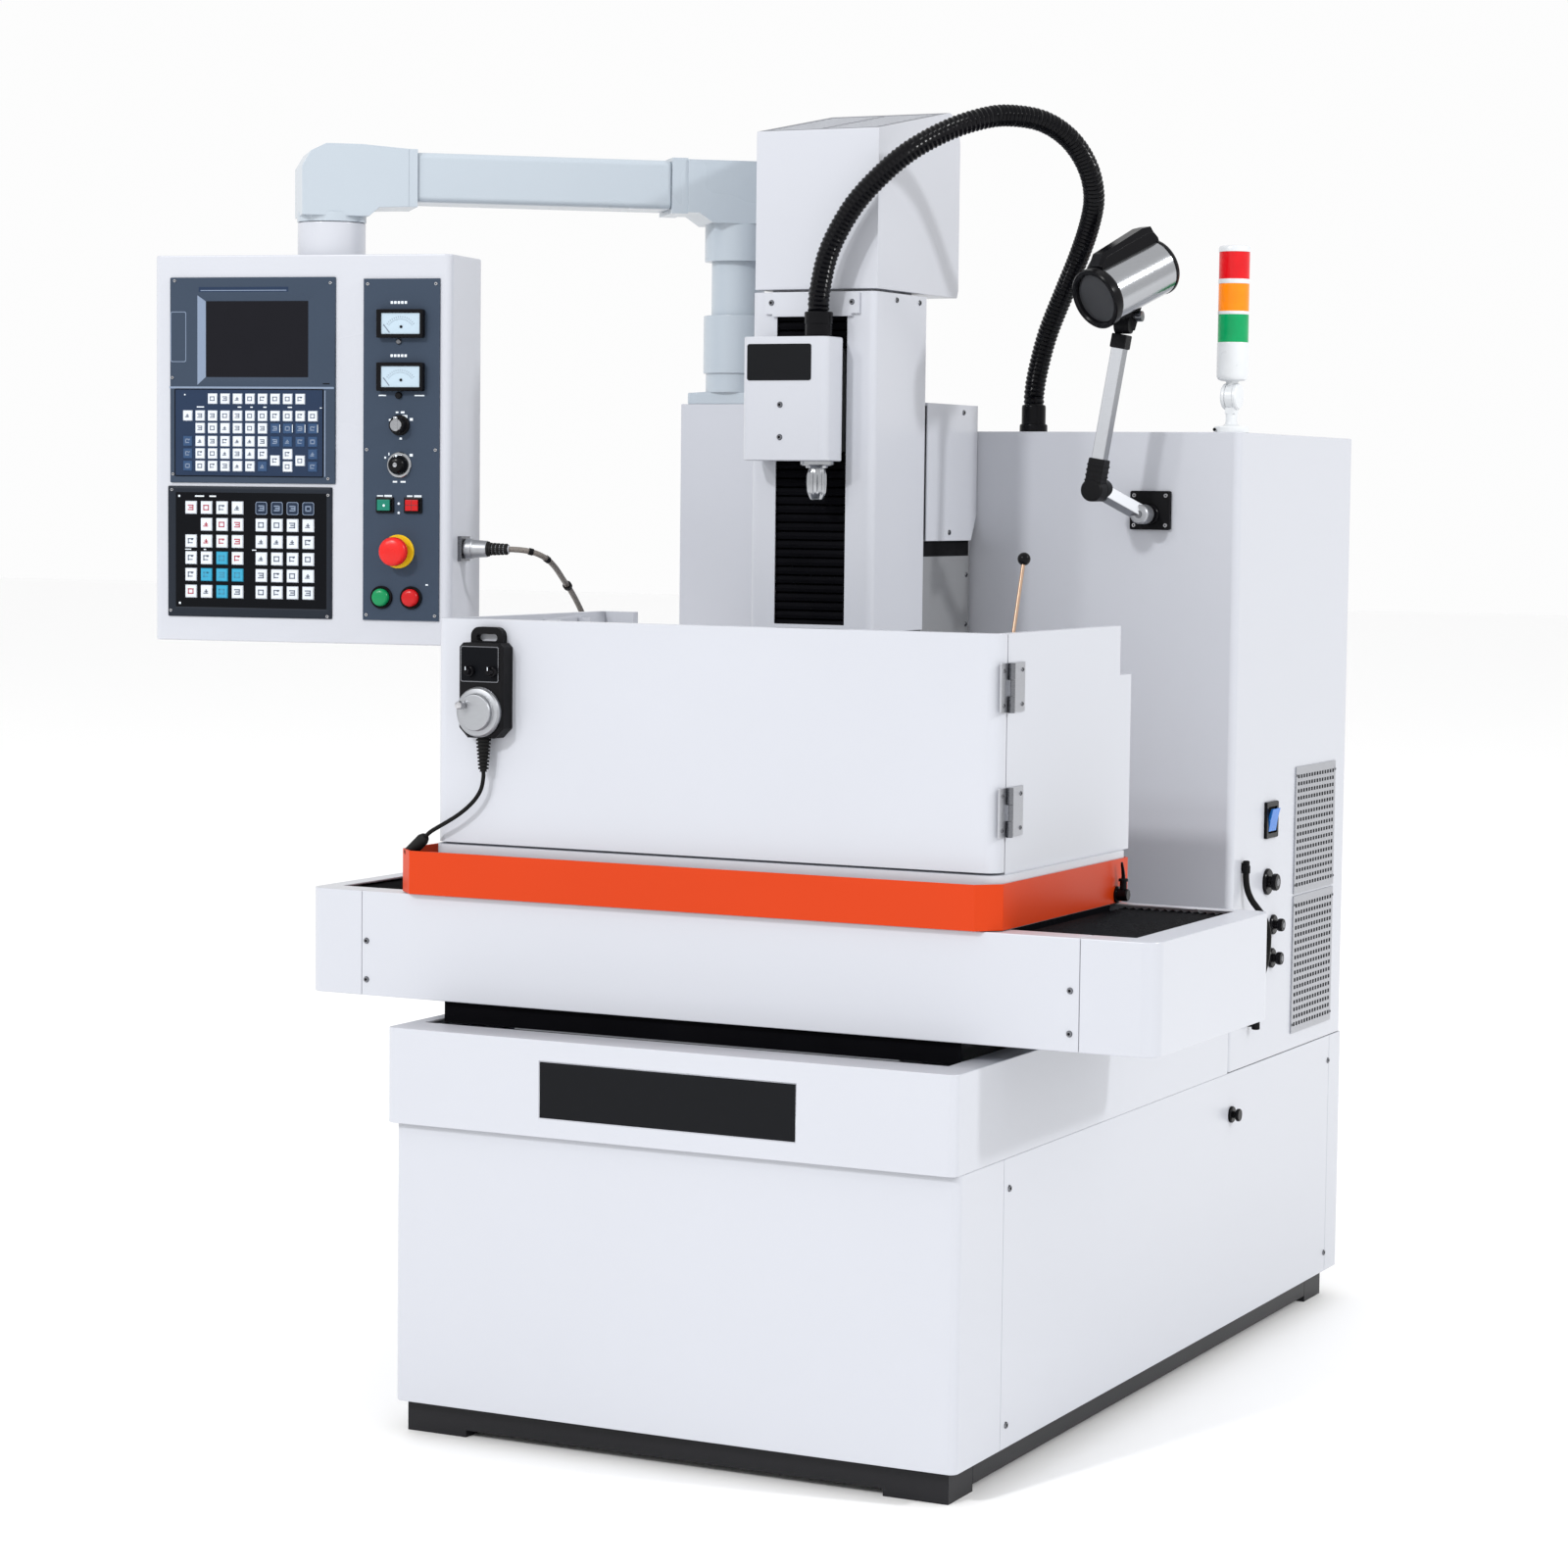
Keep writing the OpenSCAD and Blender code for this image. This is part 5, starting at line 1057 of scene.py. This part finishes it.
def chuck():
    shape = Shape("chuck", CHROME)
    shape.lathe((SPINDLE_X, SPINDLE_Y, 1380.6), DOWNWARD, [(25.5, 0), (25.5, 5), (24, 6.5), (18, 7), (17, 10),
                                                           (12, 11)])

    def fluted(r, depth):
        turns = [(r - depth * (k % 4 == 0), math.tau * k / 48) for k in range(48)]
        return [(SPINDLE_X + bottom * math.cos(a), SPINDLE_Y + bottom * math.sin(a)) for bottom, a in turns]
    shape.loft([(fluted(r, depth), z) for r, depth, z in (
        (9, 0, 1323.6), (10.2, 0, 1324.6), (12.8, 0.4, 1330), (14.6, 1.6, 1336), (15.4, 1.8, 1348),
        (15.2, 1.6, 1360), (13.6, 0.6, 1366), (12.6, 0, 1371))], "xy")
    # a dark disc at the tip: painted shade of the bore
    shape.lathe((SPINDLE_X, SPINDLE_Y, 1324.2), DOWNWARD, [(3, 0), (2.8, 0.8)], GAP_SHADE, 16)
    cover(shape, "spindle_chuck", 0.5)


# ---- tank, saddle and column trim ----

def hinges():
    for node, leaf, knuckles, web, screw_y in (
        ("work_tank", (-646, -597), ((-33.2, -11.2), (11.2, 33.2)), (-651.4, -645.8), -606),
        ("tank_door", (-677, -655), ((-10.8, 10.8),), (-655.4, -650.6), -668),
    ):
        shape = Shape(node + "_hinge_leaves", BRIGHT)
        for z in (912, 1078):
            shape.box((436.8, leaf[0], z - 33.2), (439.7, leaf[1], z + 33.2), soft=0.5)
            for low, high in knuckles:
                # the knuckles are dark steel: partly steel, partly painted shade of the dark gap about the
                # pin
                shape.bar((443.5, -651, z + low), (443.5, -651, z + high), 4.5, STEEL_DARK, 20, 0.4)
                shape.box((437.2, web[0], z + low), (443.8, web[1], z + high), soft=0.3)
        screws(shape, 3.2, SIDEWAYS, *[(439.6, screw_y, z) for z in (935, 889, 1101, 1055)])
        fit(shape, node, "bright_steel")


def trim():
    shape = Shape("bare_front_plate", PLATE_DARK)
    shape.box((-188.8, -799.85, 471.2), (203.8, -798.8, 548.8), soft=0.4)
    fit(shape, "upper_rim", "black_plastic")
    shape = Shape("front_bellows_end", FOLD_CLOTH)
    shape.box((-415, -681.2, 574), (391, -680.2, 604.6))
    fit(shape, "saddle_casting", "fold_cloth")
    low, high = box_of("table_carriage")
    shape = Shape("carriage_end_strips", FOLD_CLOTH)
    for x in (low[0], high[0]):
        shape.box((x - 0.6, low[1] + 1, 660), (x + 0.6, high[1] - 1, high[2] - 0.5))
    fit(shape, "table_carriage", "fold_cloth")
    shape = Shape("saddle_screws", STEEL_DARK)
    screws(shape, 4.6, FORWARD, (-539, -694, 684), (-539, -694, 628), (551, -694, 686), (551, -694, 629))
    fit(shape, "saddle_cover", "bright_steel")
    low, high = box_of("column")
    shape = Shape("column_shadow_gap", GAP_SHADE)
    shape.box((high[0] - 0.6, low[1] + 2, 1238), (high[0] + 0.5, high[1] - 6, 1261.5))
    fit(shape, "column", "black_plastic")
    shape = Shape("cover_screw_heads", STEEL_DARK)
    screws(shape, 5, SIDEWAYS, *[(CABINET_SIDE, y, z) for y in (-620, 728) for z in (78, 402)])
    screws(shape, 4.4, SIDEWAYS, (1, -75, 1624), (1, 8, 1624), (1, 180, 1462), (1, 130, 1275))
    screws(shape, 4, SIDEWAYS, (-6, 214, 1130), (-6, 214, 1208))
    screws(shape, 4.6, FORWARD, (-169, -156, 1618), (-35, -156, 1618))
    cover(shape, "cover_screws")


# ---- cabinet ----

def grilles():
    shape = Shape("perforated_plates", GRILLE_STEEL)
    for low, high, rows in ((471, 694, 17), (698, 903, 16)):
        y, z = (535, 724), (low + 6, high - 8)
        outer, inner = rounded((530, 729), (low, high), 0.6), rounded(y, z, 0.4)
        shape.loft([(outer, 438.2), (outer, 440.4), (inner, 440.4), (inner, 438.2)], "yz", ring=True)
        # a near-black sheet behind the perforations: painted shade of the cabinet's inside
        shape.box((437.6, 532, low + 2), (438.4, 727, high - 2), GAP_SHADE)
        GRILLE.grow(shape, [(439.4, sum(y) / 2, sum(z) / 2)], Columns=14, Rows=rows, Width=y[1] - y[0] + 2.0,
                    Height=z[1] - z[0] + 2.0, Strip=4.8, Rib=5.8, Thickness=1.9, Metal=GRILLE_STEEL)
        screws(shape, 2.6, SIDEWAYS, *[(440.3, y, z) for y in (532.6, 726.4) for z in (low + 14, high - 14)])
    cover(shape, "cabinet_grille", 0.4)


def side_fittings():
    shape = Shape("cabinet_side_fittings", BLACK_PLASTIC)
    side = CABINET_SIDE - 0.2
    shape.lathe((84, 265, 1433.8), UPWARD, [(22, 0), (22, 10), (20.8, 12), (19, 12.6), (19, 38), (18.6, 41),
                                            (17.4, 42.4)], GLOSS_BLACK)
    for y, z, r in ((403, 729, 21), (434, 658, 16), (430, 605, 16)):
        shape.lathe((side, y, z), SIDEWAYS, [(r, 0), (r, 3.4), (r - 1.6, 5), (r * 0.44, 5.4), (r * 0.4, 10.2),
                                             (r * 0.6, 10.8), (r * 0.65, 12.6), (r * 0.65, 17),
                                             (r * 0.58, 19), (0, 19.2)], GLOSS_BLACK, 36)
        shape.lathe((456.8, y, z), SIDEWAYS, [(r * 0.3, 0), (r * 0.28, 0.8), (0, 1)], STEEL_DARK, 20)
    for x, y, z in ((444.5, 286, 752), (450, 330, 503)):
        shape.lathe((x, y, z), UPWARD, [(5.4, 0), (6.5, 1), (6.5, 12), (5.4, 13), (5.4, 19), (4, 20.2)],
                    sides=24)
        shape.box((side, y - 4, z + 4), (x, y + 4, z + 16), soft=0.8)
    shape.loft(outlines((384, 440), (798, 856), (0, 3, side), (0, 3, 442), (1, 2.4, 443))
               + outlines((392, 432), (806, 848), (0, 1.5, 443), (0, 1.5, 439.6)),
               "yz", GLOSS_BLACK, ring=True)
    # a dark sheet in the switch opening: painted shade of the hole
    shape.box((side, 391, 805), (439.2, 433, 849), GAP_SHADE)
    shape.loft(outlines((262, 328), (1283, 1343), (0, 3, 238.1), (0, 3, 231.6), (0.8, 2.6, 230.9)))
    shape.lathe((295, 231.2, 1307), FORWARD, [(17, 0), (16, 4), (14.4, 6), (14.4, 19)], GLOSS_BLACK, 32)
    screws(shape, 3.4, FORWARD, *at_depth(231, (269, 1290), (321, 1290), (269, 1336), (321, 1336)),
           metal=SCREW_STEEL)
    shape.lathe((-450.2, 130, 935), SIDEWAYS, [(7, 0), (9, 2), (9, 20), (11, 21), (11, 26.4)], sides=28)
    shape.lathe((TOWER_X, TOWER_Y, 1433.8), UPWARD, [(27, 0), (27, 8), (25.5, 9.4), (13, 10.6), (10, 13),
                                                     (9, 18), (9, 38)], IVORY)
    for way in (-1, 1):
        shape.lathe((TOWER_X + way * 6.6, TOWER_Y, 1489), (way, 0, 0),
                    [(20, 0), (20, 4), (18.4, 6), (12, 6.8)], IVORY, 36)
    shape.box((404, 259, 1462), (420, 277, 1474), IVORY, 1.2)
    # a dark slot and a dark dot in the gap colour: painted shade of a slot and a small hole
    shape.box((398.4, 264, 1482), (399.6, 268, 1496), GAP_SHADE)
    shape.lathe((394, 243, 1438), FORWARD, [(2.6, 0), (2.6, 1), (0, 1.2)], GAP_SHADE, 12)
    cover(shape, "cabinet_fittings")
    shape = Shape("rocker", BLUE)
    profile = [(441, 809), (442.5, 809), (445.2, 827), (449.5, 845), (446, 845), (441, 831)]
    shape.loft([(profile, 394.8), (profile, 429.2)], soft=0.5)
    line = [(444.9, 829), (449.3, 844.4), (449.0, 844.6), (444.6, 829.2)]
    shape.loft([(line, 397), (line, 414)], "xz", IVORY)
    shape.bar((443, 392.6, 827), (443, 431.4, 827), 1.9, sides=12)
    cover(shape, "power_rocker")
    shape = Shape("side_latch", GLOSS_BLACK)
    shape.lathe((438.2, 257, 378), SIDEWAYS, [(13, 0), (13, 2.8), (11.8, 4.2), (5.4, 4.6), (5.2, 9.2),
                                              (9.2, 9.8), (10, 11.4), (10, 13.8), (9, 15.2), (0, 15.3)])
    cover(shape, "panel_latch")


# ---- lamp ----

def lamp_arms():
    pivot, low_end, elbow, yoke = (295, 199.5, 1307), (250, 133, 1343), (250, 111, 1343), (290, 120, 1592)
    reach = (Vector(yoke) - Vector(elbow)).length
    shape = Shape("lamp_lower_tube", ALUMINIUM)
    shape.strut(pivot, low_end, 20, -4, 80)
    shape.lathe((295, 211.3, 1307), FORWARD, [(14.5, 0), (15, 1), (15, 26), (13, 28.5), (0, 29)], sides=32)
    shape.lathe((295, 182.6, 1307), FORWARD, [(6, 0), (5.6, 1.6), (0, 2)], STEEL_DARK, 20)
    shape.lathe((250, 148, 1343), FORWARD, [(15.6, 0), (17.4, 1.6), (17.4, 21.5), (16.6, 22.6)],
                BLACK_PLASTIC, 32)
    cover(shape, "lamp_lower_arm")
    shape = Shape("lamp_upper_tube", ALUMINIUM)
    shape.strut(elbow, yoke, 20, 40, reach - 20)
    shape.strut(elbow, yoke, 26, 6, 48, BLACK_PLASTIC, 2.4)
    for near in (12, 20, 28, 36):
        shape.strut(elbow, yoke, 27.2, near, near + 3, BLACK_PLASTIC, 0.8)
    shape.strut(elbow, yoke, 24.6, reach - 35, reach - 13.4, BLACK_PLASTIC, 2.4)
    shape.lathe((250, 124.6, 1343), FORWARD, [(17, 0), (17.6, 1), (17.6, 24), (15, 27.4), (0, 28)],
                BLACK_PLASTIC, 32)
    screws(shape, 2.6, SIDEWAYS, (282, 117.5, 1535), (270.6, 115, 1470), metal=SCREW_STEEL)
    cover(shape, "lamp_upper_arm")


def lamp_head():
    front, back = Vector((274, 40, 1627)), Vector((332, 160, 1685))
    ahead, length = (back - front).normalized(), (back - front).length
    across = Vector(UPWARD).cross(ahead).normalized()
    place = Matrix((across.cross(ahead), across, ahead)).transposed().to_4x4()
    place.translation = front
    local = place.inverted()
    shape = Shape("lamp_barrel", CHROME, place)
    shape.lathe((0, 0, 0), UPWARD, [(43, 16), (43, length - 9)], sides=56)
    shape.lathe((0, 0, 0), UPWARD, [(37.4, 7), (38.4, 1.2), (40.6, -1), (44.8, -1), (46.6, 0.8), (46.6, 12),
                                    (45, 15), (43.6, 17)], GLOSS_BLACK, 56)
    shape.lathe((0, 0, 0), UPWARD, [(0, 4.6), (20, 5.6), (37.4, 6.2), (37.4, 7.2)], LAMP_GLASS, 56)
    shape.lathe((0, 0, length - 10), UPWARD, [(44, 0), (44, 4), (41.4, 8), (34, 10)], GLOSS_BLACK, 56)
    ridge = [(-38, 17), (-46.5, 17), (-61, 32), (-67, length - 24), (-64, length - 7), (-46, length - 2),
             (-38, length - 3)]
    flank = [(-38, 18), (-45, 18), (-55, 34), (-58, length - 24), (-55, length - 9), (-45, length - 4),
             (-38, length - 4)]
    shape.loft([(flank, -17), (flank, -16.2), (ridge, -11), (ridge, 11), (flank, 16.2), (flank, 17)], "xz",
               GLOSS_BLACK, 0.8)
    shape.strut(local @ Vector((290, 126, 1588)), local @ Vector((302, 134, 1640)), 23, 0, 46,
                BLACK_PLASTIC, 2.0)
    for start, end, r, finish, sides, soft in (
        ((278, 120, 1592), (302, 120, 1592), 12.6, BLACK_PLASTIC, 32, 0.8),
        ((302, 127, 1606), (308, 127, 1606), 5, STEEL_DARK, 20, 0),
        ((307, 127, 1606), (318, 127, 1606), 8.2, STEEL_DARK, 28, 1.4),
    ):
        shape.bar(local @ Vector(start), local @ Vector(end), r, finish, sides, soft)
    cover(shape, "lamp_head")


# ---- tower light ----

def tower():
    at = (TOWER_X, TOWER_Y, 0)
    shape = Shape("tower_light_stack", IVORY)
    shape.lathe((405.6, TOWER_Y, 1489), SIDEWAYS, [(18.6, 0), (19.4, 1), (19.4, 11.8), (18.6, 12.8)],
                sides=36)
    shape.lathe(at, UPWARD, [(0, 1496), (9, 1500), (8.6, 1508), (10, 1512), (18, 1513), (22, 1515),
                             (24, 1519), (24.2, 1524), (24.2, 1570), (23.2, 1572)], sides=48)
    for low, high, glass in ((1572, 1614, LENS_GREEN), (1619, 1661, LENS_ORANGE), (1668, 1709.5, LENS_RED)):
        shape.lathe(at, UPWARD, [(23.5, low - 0.4), (23.6, low + 1), (23.6, high - 1), (23.4, high + 0.4)],
                    glass, 48)
    for low, high in ((1614, 1619), (1661, 1668)):
        shape.lathe(at, UPWARD, [(23.9, low), (24.2, low + 0.8), (24.2, high - 0.8), (23.9, high)], sides=48)
    shape.lathe(at, UPWARD, [(24.2, 1709.5), (24.2, 1715.5), (23, 1718), (20, 1719)], sides=48)
    cover(shape, "tower_light")


# ---- hand pendant, level rod and drain ----

def pendant():
    shape = Shape("pendant_case", BLACK_PLASTIC)

    def outline(inset):
        left, right, low, high = -379 + inset, -307 - inset, 984 + inset, 1118 - inset
        return [(left + 6, high), (left, high - 6), (left, low + 14), (left + 14, low),
                (right - 14, low), (right, low + 14), (right, high - 6), (right - 6, high)]
    shape.loft([(outline(0.8), -678), (outline(0), -679), (outline(0), -704), (outline(3), -708)], soft=0.6)
    hanger, hole = rounded((-369, -317), (1096, 1140), 13), rounded((-360, -326), (1120, 1130), 4.5)
    shape.loft([(hanger, -678.3), (hanger, -690), (hole, -690), (hole, -678.3)], ring=True)
    shape.box((-373, -709, 1064), (-313, -707.8, 1112.5), DARK_FILM, 0.3)
    border(shape, (-374, -312), (1063, 1113.4), 1.3, -707.8, 1.7, STEEL_DARK, 3)
    ribs = [(11.5, 0)]
    for k in range(10):
        r, h = 11.2 - 0.42 * k, 5 * k
        ribs += [(r, 2 + h), (r, 4.2 + h), (r - 2.6, 4.7 + h), (r - 2.8, 6.4 + h)]
    shape.lathe((-345, -694, 989), DOWNWARD, ribs + [(5.4, 53)], RUBBER, 28)
    cover(shape, "pendant_body", 0.5)
    for x, node in ((-358, "pendant_knob_left"), (-322, "pendant_knob_right")):
        shape = Shape(node + "_cap", GLOSS_BLACK)
        shape.lathe((x, -709.3, 1078), FORWARD, [(8, 0), (8, 2), (7, 4.6), (5.4, 5.4), (5, 12), (4.4, 13)],
                    sides=28)
        shape.box((x - 1.0, -723, 1075), (x + 1.0, -715, 1085.4), soft=0.4)
        shape.box((x - 0.5, -723.3, 1080), (x + 0.5, -722.6, 1085), PALE_PRINT)
        cover(shape, node)
    shape = Shape("pendant_hand_wheel", ALUMINIUM)
    shape.lathe((-343, -708.5, 1021), FORWARD, [(35, 0), (35, 4.6), (33, 7.4), (29, 8.4), (26.6, 8.6),
                                                (26, 9.4), (26, 15), (25, 16.6), (23.4, 17)], sides=64)
    shape.lathe((-343, -708.4, 1021), FORWARD, [(34, 0), (35.5, 0.4), (35.5, 1.6), (34, 1.8)], STEEL_DARK, 64)
    shape.lathe((-360, -725.2, 1031), FORWARD, [(4, 0), (4, 2), (5.6, 3), (6, 9), (5.4, 13.6), (3.8, 15.6),
                                                (0, 16)], SCREW_STEEL, 24)
    cover(shape, "pendant_wheel", 0.5)


def rod_and_drain():
    shape = Shape("level_rod_and_ball", BRASS)
    shape.bar((406, -590, 1060), (406, -528, 1247), 2.6, sides=16)
    shape.lathe((400, -590, 1060), SIDEWAYS, [(9, 0), (9, 9), (7.6, 11.4), (0, 11.6)], ALUMINIUM, 28)
    ball = [(9 * math.sin(math.pi * k / 12), 9 - 9 * math.cos(math.pi * k / 12)) for k in range(1, 12)]
    shape.lathe((406, -528, 1238), UPWARD, [(0, 0), *ball, (0, 18)], GLOSS_BLACK, 28)
    cover(shape, "level_rod")
    shape = Shape("tray_side_fittings", BLACK_PLASTIC)
    shape.box((-470, -688, 760), (-444, -666, 808), soft=1.2)
    start, end = Vector((-464, -684, 822)), Vector((-440, -693, 840))
    length = (end - start).length
    shape.lathe(start, end - start, [(9, -16), (9, length - 10), (7, length - 4), (4.4, length - 0.6)],
                RUBBER, 24)
    shape.lathe((446.6, -268, 769), SIDEWAYS, [(12, 0), (12, 3), (9, 4), (9, 17), (7.6, 18.6)],
                GLOSS_BLACK, 28)
    shape.bar((457, -268, 777), (457, -268, 788.2), 5, sides=20, soft=0.5)
    shape.lathe((446.6, -243, 772), SIDEWAYS, [(4.6, 0), (4.4, 2.6), (0, 3.4)], GLOSS_BLACK, 20)
    cover(shape, "tray_fittings")
    shape = Shape("drain_handle", GLOSS_BLACK)
    shape.lathe((457, -268, 788.4), UPWARD, [(7, 0), (7, 3), (6, 4.2), (0, 4.4)], sides=24)
    shape.tube([(457, -268, 790), (457, -268.5, 797), (457, -270.5, 804), (457, -273.5, 811),
                (457, -275, 816)], [3.2, 2.8, 2.5, 2.2, 1.6])
    cover(shape, "drain_lever")


for build in (display_frames, keypad, operator_column, dials, push_buttons, connector, head, chuck, hinges,
              trim, grilles, side_fittings, lamp_arms, lamp_head, tower, pendant, rod_and_drain):
    build()


# ---- floor, light and world ----

def studio():
    floor = bpy.data.meshes.new("floor")
    floor.from_pydata([(-40, -40, 0), (40, -40, 0), (40, 40, 0), (-40, 40, 0)], [], [(0, 1, 2, 3)])
    ground = link("floor", floor)
    pale = bpy.data.materials.new("floor_pale")
    pale.use_nodes = True
    surface = pale.node_tree.nodes["Principled BSDF"].inputs
    surface["Base Color"].default_value = (0.97, 0.97, 0.97, 1)
    surface["Roughness"].default_value = 0.6
    floor.materials.append(pale)
    for name, place, aim, size, power in (
        ("front_key", (-2.25, -10.75, 7.55), (0, 0, 1.3), 0.8, 600),
        ("left_key", (-5.75, -12.25, 6.95), (0, 0, 1.2), 1.0, 245),
        ("right_key", (10.05, 0.75, 6.8), (0.3, 0, 1.3), 0.8, 515),
    ):
        data = bpy.data.lights.new(name, "AREA")
        data.shape, data.size, data.energy = "DISK", size, power
        light = link(name, data)
        turn = (Vector(aim) - Vector(place)).to_track_quat("-Z", "Y").to_matrix().to_4x4()
        light.matrix_world = Matrix.Translation(place) @ turn
    world = bpy.data.worlds.new("studio")
    world.use_nodes = True
    sky = world.node_tree.nodes["Background"].inputs
    sky["Color"].default_value, sky["Strength"].default_value = (1, 1, 1, 1), 0.98
    bpy.context.scene.world = world
    bpy.context.scene.view_settings.view_transform = "Standard"


studio()
